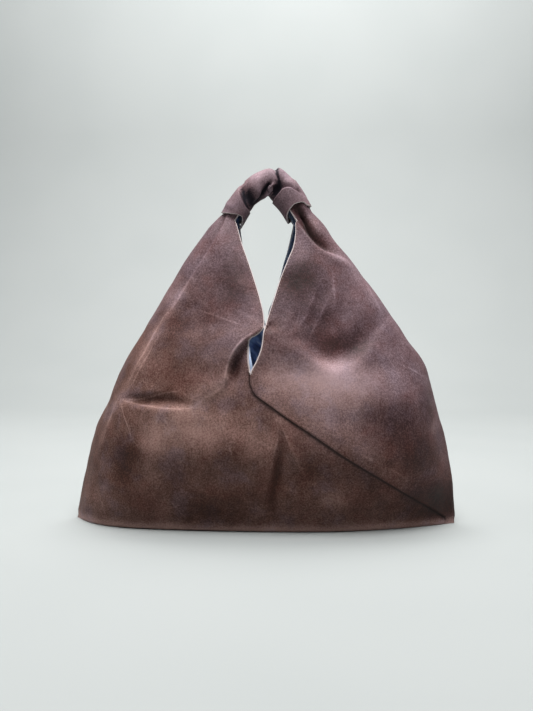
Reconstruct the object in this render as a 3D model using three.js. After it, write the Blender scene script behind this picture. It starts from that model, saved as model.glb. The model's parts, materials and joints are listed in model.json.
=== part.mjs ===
// An azuma bag: a strip of waxed canvas, three times as long as wide, folded and sewn along two diagonal
// seams into a hollow bag with two peaks and a V-shaped mouth, front and back. It is lined with blue cotton.
// A short canvas sleeve holds the two peaks together and is the handle.
// Millimetres, +Z up, origin on the floor under the middle of the base, -Y is the front.
import * as THREE from "three";
import { mergeVertices } from "three/addons/utils/BufferGeometryUtils.js";

// Driving dimensions, in millimetres
const BASE_WIDTH = 460; // corner to corner along the floor
const BASE_DEPTH = 109; // front to back in the middle of the base
const BELLY_DEPTH = 184; // front to back where the cloth bulges most
const NECK_LEVEL = 345; // height on the bag's axis of the plane where a peak enters the sleeve
const HEM_ROUND = 8; // height over which the wall turns under into the base
const SLEEVE_SPAN = 84; // between the middles of the sleeve's two ends
const SLEEVE_RISE = 49; // from the sleeve's ends to the top of its middle line
const SLEEVE_OFFSET = 4.6; // how far the handle hangs to the right of the bag's axis
const SLEEVE_LIFT = 18.6; // from the neck's level on the axis up to the middles of the sleeve's ends
const SLEEVE_THICK = 33; // across the sleeve, seen from the front
const SLEEVE_DEPTH = 30; // across the sleeve, front to back
const SLEEVE_WALL = 2.2; // two turned plies of canvas
const CUFF_ARCH = 13; // how far the mouth of each cuff rides up at the front
const CUFF_LEAN = 7; // how much shorter the sleeve is on the outside of its right end
const TUCK = 26; // how far each peak runs inside the sleeve
const SEAT_GAP = 0.6; // between a peak and the sleeve around it
const CANVAS = 1.2;
const LINING = 1.0;
const PLY_GAP = 0.3; // between the canvas and the lining
const FOLD_WIDTH = 12; // half the width of an ordinary fold
const FOLD_DEPTH = 8; // depth of an ordinary fold

// How finely the surfaces are divided
const COLUMNS = 20; // around each half of the bag, front mouth edge to back mouth edge
const SLEEVE_AROUND = 20;
const SLEEVE_ALONG = 14;
const CURVE_STEPS = 48; // on each quarter section, before it is divided evenly

const HALF_BASE = BASE_WIDTH / 2;
const HALF_FOOT = BASE_DEPTH / 2;
const HALF_BELLY = BELLY_DEPTH / 2;

// Outline seen from the front. level is a share of NECK_LEVEL, left and right are shares of HALF_BASE,
// and the slants say how steeply each section plane climbs away from the bag's axis.
const OUTLINE = [
  { level: 0.0, left: 1.0, right: 1.0, leftSlant: 0, rightSlant: 0 },
  { level: 0.026, left: 0.993, right: 0.998, leftSlant: 0, rightSlant: 0 },
  { level: 0.145, left: 0.957, right: 0.99, leftSlant: 0, rightSlant: 0 },
  { level: 0.29, left: 0.905, right: 0.948, leftSlant: 0, rightSlant: 0 },
  { level: 0.42, left: 0.825, right: 0.9, leftSlant: 0, rightSlant: 0 },
  { level: 0.533, left: 0.75, right: 0.85, leftSlant: 0, rightSlant: 0 },
  { level: 0.64, left: 0.65, right: 0.75, leftSlant: 0.01, rightSlant: 0 },
  { level: 0.745, left: 0.535, right: 0.617, leftSlant: 0.08, rightSlant: 0.06 },
  { level: 0.83, left: 0.43, right: 0.492, leftSlant: 0.19, rightSlant: 0.14 },
  { level: 0.9, left: 0.337, right: 0.385, leftSlant: 0.34, rightSlant: 0.26 },
];

// Mouth edges, or below V_LEVEL the middle line where the two halves meet. x is to the right, as a share of
// HALF_BASE; y is the distance in front of or behind the bag's axis, as a share of depthAt its level.
const V_LEVEL = 0.533;
const BELLY_LEVEL = 0.29;
const FRONT_EDGES = [
  { level: 0.0, left: 0, right: 0, y: 1.0 },
  { level: 0.026, left: 0, right: 0, y: 1.08 },
  { level: 0.145, left: -0.009, right: -0.009, y: 1.055 },
  { level: 0.29, left: -0.022, right: -0.022, y: 0.93 },
  { level: 0.42, left: -0.035, right: -0.035, y: 0.9 },
  { level: 0.533, left: -0.037, right: -0.037, y: 0.86 },
  { level: 0.575, left: -0.047, right: -0.008, y: 0.86 },
  { level: 0.62, left: -0.051, right: 0.016, y: 0.86 },
  { level: 0.642, left: -0.036, right: 0.021, y: 0.85 },
  { level: 0.664, left: 0.014, right: 0.024, y: 0.83 },
  { level: 0.685, left: 0.022, right: 0.032, y: 0.78 },
  { level: 0.72, left: 0.024, right: 0.046, y: 0.71 },
  { level: 0.775, left: 0.004, right: 0.072, y: 0.62 },
  { level: 0.83, left: -0.025, right: 0.098, y: 0.52 },
  { level: 0.88, left: -0.056, right: 0.134, y: 0.43 },
  { level: 0.93, left: -0.09, right: 0.163, y: 0.33 },
];
const BACK_EDGES = [
  { level: 0.0, left: 0, right: 0, y: 1.0 },
  { level: 0.026, left: 0, right: 0, y: 1.08 },
  { level: 0.145, left: 0, right: 0, y: 1.045 },
  { level: 0.29, left: 0, right: 0, y: 0.92 },
  { level: 0.42, left: 0, right: 0, y: 0.9 },
  { level: 0.533, left: 0, right: 0, y: 0.85 },
  { level: 0.6, left: -0.006, right: 0.004, y: 0.84 },
  { level: 0.68, left: -0.009, right: 0.006, y: 0.78 },
  { level: 0.73, left: -0.02, right: 0.012, y: 0.69 },
  { level: 0.78, left: -0.04, right: 0.042, y: 0.6 },
  { level: 0.83, left: -0.068, right: 0.07, y: 0.51 },
  { level: 0.88, left: -0.095, right: 0.096, y: 0.42 },
  { level: 0.93, left: -0.117, right: 0.122, y: 0.33 },
];

// Panels between a mouth edge and the side fold. Each section is one conic arc: reach is the place of its
// corner along the half section, out its distance from the axis as a share of depthAt, and weight its
// fullness. The over panel is front right and back left, and the under panel front left and back right.
const OVER_PANEL = [
  { level: 0.0, reach: 0.56, out: 1.0, weight: 1.2 },
  { level: 0.026, reach: 0.58, out: 1.08, weight: 1.2 },
  { level: 0.145, reach: 0.72, out: 1.105, weight: 1.25 },
  { level: 0.29, reach: 0.8, out: 1.02, weight: 1.3 },
  { level: 0.42, reach: 0.84, out: 1.06, weight: 1.25 },
  { level: 0.5, reach: 0.85, out: 0.94, weight: 1.15 },
  { level: 0.58, reach: 0.86, out: 0.76, weight: 1.05 },
  { level: 0.66, reach: 0.88, out: 0.62, weight: 1.0 },
  { level: 0.76, reach: 0.9, out: 0.52, weight: 1.0 },
  { level: 0.84, reach: 0.93, out: 0.46, weight: 1.0 },
  { level: 0.92, reach: 0.96, out: 0.38, weight: 0.9 },
];
const UNDER_PANEL = [
  { level: 0.0, reach: 0.84, out: 1.0, weight: 1.8 },
  { level: 0.026, reach: 0.85, out: 1.08, weight: 1.8 },
  { level: 0.145, reach: 0.84, out: 1.08, weight: 1.6 },
  { level: 0.29, reach: 0.84, out: 0.98, weight: 1.4 },
  { level: 0.38, reach: 0.85, out: 0.96, weight: 1.3 },
  { level: 0.46, reach: 0.87, out: 0.8, weight: 1.2 },
  { level: 0.58, reach: 0.89, out: 0.68, weight: 1.15 },
  { level: 0.66, reach: 0.9, out: 0.6, weight: 1.1 },
  { level: 0.76, reach: 0.92, out: 0.52, weight: 1.1 },
  { level: 0.84, reach: 0.94, out: 0.46, weight: 1.0 },
  { level: 0.92, reach: 0.96, out: 0.38, weight: 0.9 },
];

// Folds and dents, drawn on the front as seen from the front, and turned half round for the back. Ends and
// middle are x as a share of HALF_BASE and level as a share of NECK_LEVEL. width and depth are multiples
// of FOLD_WIDTH and FOLD_DEPTH, and a negative depth stands out as a ridge.
const FOLDS = [
  { name: "sliver dent", from: [-0.7, 0.425], by: [-0.5, 0.432], to: [-0.33, 0.415], width: 1.0, depth: 0.55 },
  { name: "overhanging fold", from: [-0.03, 0.63], by: [-0.17, 0.54], to: [-0.36, 0.42], width: 1.3, depth: -0.5 },
  { name: "recess by the mouth", from: [-0.085, 0.6], by: [-0.11, 0.52], to: [-0.08, 0.44], width: 0.9, depth: 1.0 },
  { name: "tuck under the mouth", from: [-0.05, 0.5], by: [-0.02, 0.46], to: [0.03, 0.41], width: 0.9, depth: 0.5 },
  { name: "left fan fold", from: [0.05, 0.42], by: [0.02, 0.3], to: [0.01, 0.1], width: 0.9, depth: 0.45 },
  { name: "right fan fold", from: [0.11, 0.37], by: [0.15, 0.29], to: [0.19, 0.17], width: 1.1, depth: 0.35 },
  { name: "left neck fold", from: [-0.2, 1.04], by: [-0.27, 0.94], to: [-0.42, 0.78], width: 0.6, depth: 0.7 },
  { name: "right neck fold", from: [0.21, 1.05], by: [0.27, 0.96], to: [0.45, 0.86], width: 0.65, depth: 0.9 },
  { name: "right upper hollow", from: [0.14, 0.66], by: [0.38, 0.66], to: [0.62, 0.72], width: 3.2, depth: 0.7 },
  { name: "right shelf", from: [0.16, 0.5], by: [0.38, 0.52], to: [0.68, 0.48], width: 2.8, depth: -0.65 },
  { name: "left low hollow", from: [-0.62, 0.38], by: [-0.66, 0.24], to: [-0.7, 0.12], width: 2.2, depth: 0.6 },
  { name: "left belly crown", from: [-0.5, 0.33], by: [-0.36, 0.34], to: [-0.2, 0.38], width: 2.4, depth: -0.5 },
];
const BACK_FOLD_SHARE = 0.7; // the back's folds are shallower

// The sleeve's middle line, left end to right end. x is a share of SLEEVE_SPAN, rise of SLEEVE_RISE, and
// thick and deep are shares of SLEEVE_THICK and SLEEVE_DEPTH.
const SLEEVE_LINE = [
  { along: 0.0, x: -0.5, rise: 0.0, thick: 0.9, deep: 1.0 },
  { along: 0.22, x: -0.34, rise: 0.43, thick: 0.9, deep: 0.96 },
  { along: 0.42, x: -0.11, rise: 0.8, thick: 0.92, deep: 0.88 },
  { along: 0.57, x: 0.07, rise: 0.915, thick: 0.94, deep: 0.86 },
  { along: 0.74, x: 0.25, rise: 0.65, thick: 1.14, deep: 0.96 },
  { along: 1.0, x: 0.5, rise: 0.0, thick: 1.06, deep: 1.08 },
];

// Creases of the sleeve. along is the share of its length, turn the share of a turn from its top over its
// front, width in multiples of FOLD_WIDTH and depth of FOLD_DEPTH.
const SLEEVE_FOLDS = [
  { name: "left cuff crease", from: [0.3, 0.02], to: [0.27, 0.42], width: 0.5, depth: 0.42 },
  { name: "left hollow", from: [0.36, 0.28], to: [0.32, 0.5], width: 0.6, depth: 0.5 },
  { name: "middle hollow", from: [0.5, 0.24], to: [0.43, 0.5], width: 0.45, depth: 0.45 },
  { name: "right hollow", from: [0.59, 0.2], to: [0.54, 0.48], width: 0.5, depth: 0.45 },
  { name: "top crease", from: [0.6, -0.06], to: [0.62, 0.2], width: 0.32, depth: 0.35 },
  { name: "back crease", from: [0.38, 0.56], to: [0.48, 0.95], width: 0.6, depth: 0.4 },
  { name: "back right crease", from: [0.59, 0.55], to: [0.66, 0.9], width: 0.5, depth: 0.35 },
];

// Half the depth that the tables' shares are of: the base's on the floor, the belly's from its level up
function depthAt(level) {
  return THREE.MathUtils.lerp(HALF_FOOT, HALF_BELLY, Math.min(level / BELLY_LEVEL, 1));
}

// Value of one column of a table at a place, on a smooth curve that never overshoots its rows.
function readTable(rows, key, column, place) {
  const last = rows.length - 1;
  if (place <= rows[0][key]) return rows[0][column];
  if (place >= rows[last][key]) return rows[last][column];
  let i = 0;
  while (rows[i + 1][key] < place) i += 1;
  const slopeAfter = (k) =>
    (rows[k + 1][column] - rows[k][column]) / (rows[k + 1][key] - rows[k][key]);
  const slopeAt = (k) => {
    if (k === 0) return slopeAfter(0);
    if (k === last) return slopeAfter(last - 1);
    const before = slopeAfter(k - 1);
    const after = slopeAfter(k);
    return before * after <= 0 ? 0 : (2 * before * after) / (before + after);
  };
  const step = rows[i + 1][key] - rows[i][key];
  const t = (place - rows[i][key]) / step;
  const back = 1 - t;
  return (
    rows[i][column] * (1 + 2 * t) * back * back +
    rows[i + 1][column] * (3 - 2 * t) * t * t +
    slopeAt(i) * step * t * back * back -
    slopeAt(i + 1) * step * t * t * back
  );
}

const readSleeve = (column, along) => readTable(SLEEVE_LINE, "along", column, along);

// Middle of the sleeve at a share of its length, with the way along it and the way outwards from its arch
function sleeveFrame(along) {
  const middle = (s) =>
    new THREE.Vector3(
      SLEEVE_OFFSET + readSleeve("x", s) * SLEEVE_SPAN,
      0,
      NECK_LEVEL + SLEEVE_LIFT + readSleeve("rise", s) * SLEEVE_RISE,
    );
  const probe = 0.02;
  const ahead = middle(Math.min(1, along + probe)).sub(middle(Math.max(0, along - probe)));
  const way = ahead.normalize();
  const outwards = new THREE.Vector3(-way.z, 0, way.x);
  return { middle: middle(along), way, outwards };
}

// Length of the sleeve's middle line
function sleeveLength() {
  let length = 0;
  for (let i = 0; i < CURVE_STEPS; i += 1) {
    const here = sleeveFrame(i / CURVE_STEPS).middle;
    length += here.distanceTo(sleeveFrame((i + 1) / CURVE_STEPS).middle);
  }
  return length;
}

const END_SHARE = 0.04; // a stroke is never quite flat at its very ends

const END_SHAPE = 0.7; // under 1, a stroke reaches its full depth soon after its ends

// How far a stroke's ends fade in and out, and how its depth falls off to each side
const fadeAlong = (t) => Math.sin(Math.PI * THREE.MathUtils.clamp(t, END_SHARE, 1 - END_SHARE)) ** END_SHAPE;
const fadeAcross = (share) => (share >= 1 ? 0 : (1 - share * share) ** 2);

// Depth of one stroke of two straight legs at a point. Its place along the stroke fades its ends.
function strokeDepth(point, legs, width) {
  let nearest = Infinity;
  let place = 0;
  legs.slice(1).forEach((end, k) => {
    const start = legs[k];
    const leg = end.clone().sub(start);
    const t = THREE.MathUtils.clamp(point.clone().sub(start).dot(leg) / leg.lengthSq(), 0, 1);
    const distance = start.clone().addScaledVector(leg, t).distanceTo(point);
    if (distance < nearest) {
      nearest = distance;
      place = (k + t) / (legs.length - 1);
    }
  });
  return fadeAcross(nearest / width) * fadeAlong(place);
}

// How far the folds move a point of the front inwards, with the back turned half round
function foldDepth(x, z, isBack) {
  const point = new THREE.Vector2(isBack ? -x : x, z);
  const toPlace = ([share, level]) => new THREE.Vector2(share * HALF_BASE, level * NECK_LEVEL);
  const total = FOLDS.reduce((sum, fold) => {
    const legs = [toPlace(fold.from), toPlace(fold.by), toPlace(fold.to)];
    return sum + fold.depth * FOLD_DEPTH * strokeDepth(point, legs, fold.width * FOLD_WIDTH);
  }, 0);
  return isBack ? total * BACK_FOLD_SHARE : total;
}

// One quarter section from a mouth edge to the side fold: a conic arc, as distances from the bag's axis
function quarterSection(edge, corner, side, weight) {
  const points = [];
  for (let i = 0; i <= CURVE_STEPS; i += 1) {
    const t = i / CURVE_STEPS;
    const a = (1 - t) * (1 - t);
    const b = 2 * weight * t * (1 - t);
    const c = t * t;
    points.push(
      new THREE.Vector2()
        .addScaledVector(edge, a / (a + b + c))
        .addScaledVector(corner, b / (a + b + c))
        .addScaledVector(side, c / (a + b + c)),
    );
  }
  return points;
}

// The same arc with evenly spaced points
function evenly(points, count) {
  const lengths = [0];
  points.slice(1).forEach((p, i) => lengths.push(lengths[i] + p.distanceTo(points[i])));
  const total = lengths[lengths.length - 1];
  const even = [];
  let i = 0;
  for (let k = 0; k <= count; k += 1) {
    const target = (total * k) / count;
    while (i < points.length - 2 && lengths[i + 1] < target) i += 1;
    const t = (target - lengths[i]) / Math.max(lengths[i + 1] - lengths[i], 1e-9);
    even.push(points[i].clone().lerp(points[i + 1], Math.min(t, 1)));
  }
  return even;
}

// Share of a turn from the sleeve's outer side round to a peak's mouth edge
const PEAK_WRAP = 1 / 3;

// A peak's section where it enters the sleeve, as the last row of every table: part of an ellipse
function entryRow(isRight) {
  const along = isRight ? 1 : 0;
  const { middle, way } = sleeveFrame(along);
  const slant = Math.abs(way.x / way.z);
  const play = SLEEVE_WALL + SEAT_GAP;
  const halfThick = ((readSleeve("thick", along) * SLEEVE_THICK) / 2 - play) / Math.hypot(1, slant);
  const halfDeep = (readSleeve("deep", along) * SLEEVE_DEPTH) / 2 - play;
  const wrap = PEAK_WRAP * 2 * Math.PI;
  const place = Math.abs(middle.x);
  return {
    level: 1,
    height: middle.z - slant * place,
    slant,
    side: place + halfThick,
    x: place + Math.cos(wrap) * halfThick,
    y: Math.sin(wrap) * halfDeep,
    reach: 1,
    out: Math.tan(wrap / 2) * halfDeep,
    weight: Math.cos(wrap / 2),
  };
}

// The tables of one quarter of the bag, with x as the distance from the bag's axis
function quarterTables(isRight, isBack) {
  const hand = isRight ? "right" : "left";
  const sign = isRight ? 1 : -1;
  const entry = entryRow(isRight);
  const outline = OUTLINE.map((row) => ({
    level: row.level,
    height: row.level * NECK_LEVEL,
    slant: row[hand + "Slant"],
    side: row[hand] * HALF_BASE,
  }));
  const edges = (isBack ? BACK_EDGES : FRONT_EDGES).map((row) => ({
    level: row.level,
    x: row[hand] * HALF_BASE * sign,
    y: row.y * depthAt(row.level),
  }));
  const panel = (isRight === isBack ? UNDER_PANEL : OVER_PANEL).map((row) => ({
    ...row,
    out: row.out * depthAt(row.level),
  }));
  return { outline: [...outline, entry], edges: [...edges, entry], panel: [...panel, entry] };
}

// Points of one quarter at a level. Below the mouth the edge is the line that both halves share.
function quarterPoints(tables, level, isRight, isBack) {
  const read = (name, column) => readTable(tables[name], "level", column, level);
  const joined = tables.edges.filter((row) => row.level <= V_LEVEL);
  const edgeRows = level <= V_LEVEL ? joined : tables.edges;
  const edge = new THREE.Vector2(
    readTable(edgeRows, "level", "x", level),
    readTable(edgeRows, "level", "y", level),
  );
  const side = new THREE.Vector2(read("outline", "side"), 0);
  const corner = new THREE.Vector2(
    THREE.MathUtils.lerp(edge.x, side.x, read("panel", "reach")),
    read("panel", "out"),
  );
  const height = wallHeight(read("outline", "height"));
  const slant = read("outline", "slant");
  const arc = quarterSection(edge, corner, side, read("panel", "weight"));
  return evenly(arc, COLUMNS / 2).map(
    (p) => new THREE.Vector3(isRight ? p.x : -p.x, isBack ? p.y : -p.y, height + slant * p.x),
  );
}

// Height of a wall point, with the hem turned under in a quarter circle
function wallHeight(height) {
  if (height >= HEM_ROUND) return height;
  const share = height / HEM_ROUND;
  return HEM_ROUND * (1 - Math.sqrt(1 - share * share));
}

// Rows of points: three across the base, then up the wall, the neck and into the sleeve
const BASE_ROWS = [0, 0.5];
const WALL_LEVELS = [
  0, 0.018, 0.04, 0.1, 0.17, 0.24, 0.3, 0.36, 0.41, 0.45, 0.49, V_LEVEL, 0.57, 0.605, 0.635, 0.66, 0.685,
  0.72, 0.76, 0.8, 0.84, 0.88, 0.92, 0.96,
];
const TUCK_ROWS = [0, 0.2, 0.4, 0.6, 0.8, 1]; // shares of TUCK

// Points of one half of the bag: a row for each level, from the front mouth edge round to the back one
function halfSheet(isRight) {
  const front = quarterTables(isRight, false);
  const back = quarterTables(isRight, true);
  const wall = WALL_LEVELS.map((level) => {
    const frontPoints = quarterPoints(front, level, isRight, false);
    const backPoints = quarterPoints(back, level, isRight, true);
    return [...frontPoints, ...backPoints.reverse().slice(1)];
  });
  const length = sleeveLength();
  const tucked = TUCK_ROWS.map((share) => {
    const along = isRight ? 1 - (share * TUCK) / length : (share * TUCK) / length;
    return Array.from({ length: COLUMNS + 1 }, (_, j) => {
      const turn = (1 + PEAK_WRAP * (1 - (2 * j) / COLUMNS)) % 1;
      return sleevePoint(along, turn, length, SLEEVE_WALL + SEAT_GAP);
    });
  });
  const foot = wall[0];
  const base = BASE_ROWS.map((share) =>
    foot.map((p, j) => {
      const t = 1 - Math.abs((2 * j) / COLUMNS - 1);
      const middle = new THREE.Vector3(t * foot[COLUMNS / 2].x, 0, 0);
      return middle.lerp(p, share);
    }),
  );
  return [...base, ...wall, ...tucked];
}

// One merged surface from rows of points. Collapsed faces are left out.
function surfaceFrom(sheets, isFlipped) {
  const points = [];
  const faces = [];
  const indexOf = new Map();
  const add = (p) => {
    const key = [p.x, p.y, p.z].map((v) => Math.round(v * 1000)).join(",");
    if (!indexOf.has(key)) {
      indexOf.set(key, points.length);
      points.push(p.clone());
    }
    return indexOf.get(key);
  };
  sheets.forEach((rows, s) => {
    const indices = rows.map((row) => row.map(add));
    for (let i = 0; i + 1 < rows.length; i += 1) {
      for (let j = 0; j + 1 < rows[i].length; j += 1) {
        const quad = [indices[i][j], indices[i][j + 1], indices[i + 1][j + 1], indices[i + 1][j]];
        if (isFlipped[s]) quad.reverse();
        [[quad[0], quad[1], quad[2]], [quad[0], quad[2], quad[3]]]
          .filter(([a, b, c]) => a !== b && b !== c && c !== a)
          .forEach((face) => faces.push(face));
      }
    }
  });
  return { points, faces };
}

// At each point, the way that moves every face around it outwards by one millimetre, as nearly as can be:
// the least-squares answer over the faces' normals, each weighted by its angle at the point
function outwardWays({ points, faces }) {
  const steadying = 0.004; // keeps the answer to the normal where the faces lie in one plane
  const products = points.map(() => new Array(9).fill(0));
  const sums = points.map(() => new THREE.Vector3());
  faces.forEach((face) => {
    const corners = face.map((i) => points[i]);
    const normal = new THREE.Triangle(...corners).getNormal(new THREE.Vector3());
    face.forEach((i, k) => {
      const towards = (step) => corners[(k + step) % 3].clone().sub(corners[k]);
      const weighted = normal.clone().multiplyScalar(towards(1).angleTo(towards(2)));
      sums[i].add(weighted);
      weighted.toArray().forEach((a, row) =>
        normal.toArray().forEach((b, column) => {
          products[i][3 * row + column] += a * b;
        }),
      );
    });
  });
  return sums.map((sum, i) => {
    const along = sum.clone().normalize();
    const matrix = new THREE.Matrix3().set(...products[i]);
    [0, 4, 8].forEach((k) => {
      matrix.elements[k] += steadying;
    });
    return sum.addScaledVector(along, steadying).applyMatrix3(matrix.invert());
  });
}

// Closed wall between two depths under a surface: outer skin, inner skin, and a rim along its free edges
function wallGeometry(surface, ways, outerDepth, innerDepth) {
  const { points, faces } = surface;
  const count = points.length;
  const layer = (depth) => points.map((p, i) => p.clone().addScaledVector(ways[i], -depth));
  const positions = [...layer(outerDepth), ...layer(innerDepth)].flatMap((p) => p.toArray());
  const index = faces.flatMap(([a, b, c]) => [a, b, c, c + count, b + count, a + count]);
  const edges = new Map();
  faces.forEach(([a, b, c]) =>
    [[a, b], [b, c], [c, a]].forEach(([from, to]) => edges.set(`${from},${to}`, [from, to])),
  );
  edges.forEach(([from, to]) => {
    if (edges.has(`${to},${from}`)) return;
    index.push(to, from, from + count, to, from + count, to + count);
  });
  const geometry = new THREE.BufferGeometry();
  geometry.setAttribute("position", new THREE.Float32BufferAttribute(positions, 3));
  geometry.setIndex(index);
  geometry.computeVertexNormals();
  return geometry;
}

// The bag's outer surface with its folds pressed in. The base stays flat on the floor.
function bagSurface() {
  const surface = surfaceFrom([halfSheet(true), halfSheet(false)], [false, true]);
  const ways = outwardWays(surface);
  surface.points.forEach((p, i) => {
    if (p.z <= HEM_ROUND || Math.abs(p.y) < 1) return;
    p.addScaledVector(ways[i].clone().normalize(), -foldDepth(p.x, p.z, p.y > 0));
  });
  return surface;
}

// How a cuff's mouth rides up, as a share of CUFF_ARCH: most at the front, half as far at the back
const ARCH_SHAPE = 0.9; // under 1, the mouth rises steeply from its two sides
const BACK_ARCH = 0.5;
function cuffArch(turn) {
  const front = Math.sin(turn * 2 * Math.PI);
  return (front > 0 ? 1 : BACK_ARCH) * Math.abs(front) ** ARCH_SHAPE;
}

// The sleeve's outer surface, from its left cuff to its right one
function sleeveSurface() {
  const length = sleeveLength();
  const rows = [];
  for (let i = 0; i <= SLEEVE_ALONG; i += 1) {
    const row = [];
    for (let k = 0; k <= SLEEVE_AROUND; k += 1) {
      const turn = (k % SLEEVE_AROUND) / SLEEVE_AROUND;
      const arch = CUFF_ARCH * cuffArch(turn);
      const lean = (CUFF_LEAN * (1 + Math.cos(turn * 2 * Math.PI))) / 2;
      const last = 1 - Math.max(arch, lean) / length;
      const along = THREE.MathUtils.lerp(arch / length, last, i / SLEEVE_ALONG);
      row.push(sleevePoint(along, turn, length));
    }
    rows.push(row);
  }
  return surfaceFrom([rows], [false]);
}

// A point of the sleeve's outer surface, or of one set inwards from it, pressed in by its creases
function sleevePoint(along, turn, length, inset = 0) {
  const { middle, outwards } = sleeveFrame(along);
  const creases = SLEEVE_FOLDS.reduce((sum, fold) => {
    const girth = Math.PI * SLEEVE_THICK;
    const toPlace = ([s, around]) => new THREE.Vector2(s * length, around * girth);
    const legs = [toPlace(fold.from), toPlace(fold.to)];
    const near = turn > 0.75 && fold.from[1] < 0.25 ? turn - 1 : turn;
    const depth = strokeDepth(toPlace([along, near]), legs, fold.width * FOLD_WIDTH);
    return sum + depth * fold.depth * FOLD_DEPTH;
  }, 0);
  const angle = turn * 2 * Math.PI;
  const halfThick = (readSleeve("thick", along) * SLEEVE_THICK) / 2 - creases - inset;
  const halfDeep = (readSleeve("deep", along) * SLEEVE_DEPTH) / 2 - creases - inset;
  return middle
    .addScaledVector(outwards, Math.cos(angle) * halfThick)
    .add(new THREE.Vector3(0, -Math.sin(angle) * halfDeep, 0));
}

function canvasMesh(name, geometry, color, roughness, metalness = 0) {
  const mesh = new THREE.Mesh(geometry, new THREE.MeshStandardMaterial({ color, roughness, metalness }));
  mesh.name = name;
  return mesh;
}

// Shares corner points between faces, so that each geometry is one closed body
function closed(geometry) {
  geometry.deleteAttribute("normal");
  geometry.deleteAttribute("uv");
  return mergeVertices(geometry, 1e-4);
}

function azumaBag() {
  const group = new THREE.Group();
  const bag = bagSurface();
  const bagWays = outwardWays(bag);
  const sleeve = sleeveSurface();
  const liningDepth = CANVAS + PLY_GAP;
  group.add(
    canvasMesh("canvas_shell", closed(wallGeometry(bag, bagWays, 0, CANVAS)), 0x5f4a48, 0.72),
    canvasMesh("cotton_lining", closed(wallGeometry(bag, bagWays, liningDepth, liningDepth + LINING)), 0x2c3a5a, 0.85),
    canvasMesh("handle_sleeve", closed(wallGeometry(sleeve, outwardWays(sleeve), 0, SLEEVE_WALL)), 0x6f5a5c, 0.72),
  );
  return group;
}

export default azumaBag();
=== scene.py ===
"""An azuma bag of waxed canvas with a blue cotton lining and a gathered sleeve for a handle.

The bag is one strip of cloth, folded and sewn along two diagonal seams. Seen from the front, the seam runs
from the bottom of the V down to the right corner, and the back is the front turned half round. The surface
is worked out from short tables. Their x is a share of half the base's width, to the right, and their level
a share of the neck's height. Metres, +Z up, -Y is the front.
"""

import json
import math

import bpy
import numpy as np
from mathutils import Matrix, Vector

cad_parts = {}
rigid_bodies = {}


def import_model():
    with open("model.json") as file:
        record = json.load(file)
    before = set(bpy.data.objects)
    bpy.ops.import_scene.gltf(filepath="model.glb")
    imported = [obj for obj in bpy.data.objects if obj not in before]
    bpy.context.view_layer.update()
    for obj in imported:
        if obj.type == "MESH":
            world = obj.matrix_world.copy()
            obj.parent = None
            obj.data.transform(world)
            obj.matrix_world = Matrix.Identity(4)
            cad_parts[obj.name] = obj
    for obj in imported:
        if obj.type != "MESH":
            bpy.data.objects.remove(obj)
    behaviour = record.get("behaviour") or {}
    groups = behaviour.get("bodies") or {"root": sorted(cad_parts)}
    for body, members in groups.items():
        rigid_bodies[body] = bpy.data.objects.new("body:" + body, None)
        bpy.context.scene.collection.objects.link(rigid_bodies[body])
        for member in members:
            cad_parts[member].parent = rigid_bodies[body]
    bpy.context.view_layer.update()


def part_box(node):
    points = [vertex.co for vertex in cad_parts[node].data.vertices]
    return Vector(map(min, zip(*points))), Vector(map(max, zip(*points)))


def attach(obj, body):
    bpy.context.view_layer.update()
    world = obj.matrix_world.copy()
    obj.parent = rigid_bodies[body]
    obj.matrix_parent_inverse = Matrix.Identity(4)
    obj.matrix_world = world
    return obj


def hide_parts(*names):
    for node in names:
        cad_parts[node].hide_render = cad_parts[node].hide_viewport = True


bl_info = {
    "name": "Azuma Bag",
    "version": (1, 0, 0),
    "blender": (4, 5, 0),
    "location": "View3D > Sidebar > Azuma Bag",
    "description": "Builds a lined azuma bag of waxed canvas around its packed frame",
    "category": "Add Mesh",
}

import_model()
SHELL_LOW, SHELL_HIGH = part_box("canvas_shell")

MM = 0.001
HALF_BASE = (SHELL_HIGH.x - SHELL_LOW.x) / 2

# Grid of the surface. The seam is a diagonal of the grid, so it stays crisp.
COLUMNS = 72  # from a mouth edge to the side fold
LIP_ROWS = 6  # from the bottom of the V to where the seam leaves the middle line
NECK_ROWS = 56  # from the bottom of the V up to the sleeve
TUCK_ROWS = 6  # inside the sleeve
BASE_ROWS = 7  # from the base's middle line to its edge
ARC_STEPS = 96  # in which an arc is measured
SLEEVE_AROUND = 150
SLEEVE_ALONG = 150
MERGE = 1e-6  # metres. Points as near as this are one.
SEED = 7  # of the ripples
FRONT_WRAP = 1 / 3  # share of a turn from the sleeve's outer side round to a peak's front mouth edge
BACK_WRAP = 0.42  # and to its back one, so its lining shows


def table(columns, *rows):
    """A short table, as its named columns."""
    return dict(zip(columns.split(), np.array(rows, float).T))


def read(rows, column, places, key="level"):
    """A column's values at places, on a smooth curve that never overshoots its rows."""
    x, y = rows[key], rows[column]
    rises = np.diff(y) / np.diff(x)
    products = rises[:-1] * rises[1:]
    sums = rises[:-1] + rises[1:]
    inner = np.where(products > 0, 2 * products / np.where(products > 0, sums, 1), 0)
    slopes = np.concatenate([rises[:1], inner, rises[-1:]])
    at = np.clip(places, x[0], x[-1])
    i = np.clip(np.searchsorted(x, at, side="right") - 1, 0, len(x) - 2)
    step = x[i + 1] - x[i]
    t = (at - x[i]) / step
    back = 1 - t
    ends = y[i] * (1 + 2 * t) * back**2 + y[i + 1] * (3 - 2 * t) * t**2
    return ends + slopes[i] * step * t * back**2 - slopes[i + 1] * step * t**2 * back


V_LEVEL = 0.533  # the bottom of the V
BELLY_LEVEL = 0.29  # from here up, depths are shares of the belly's

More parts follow.
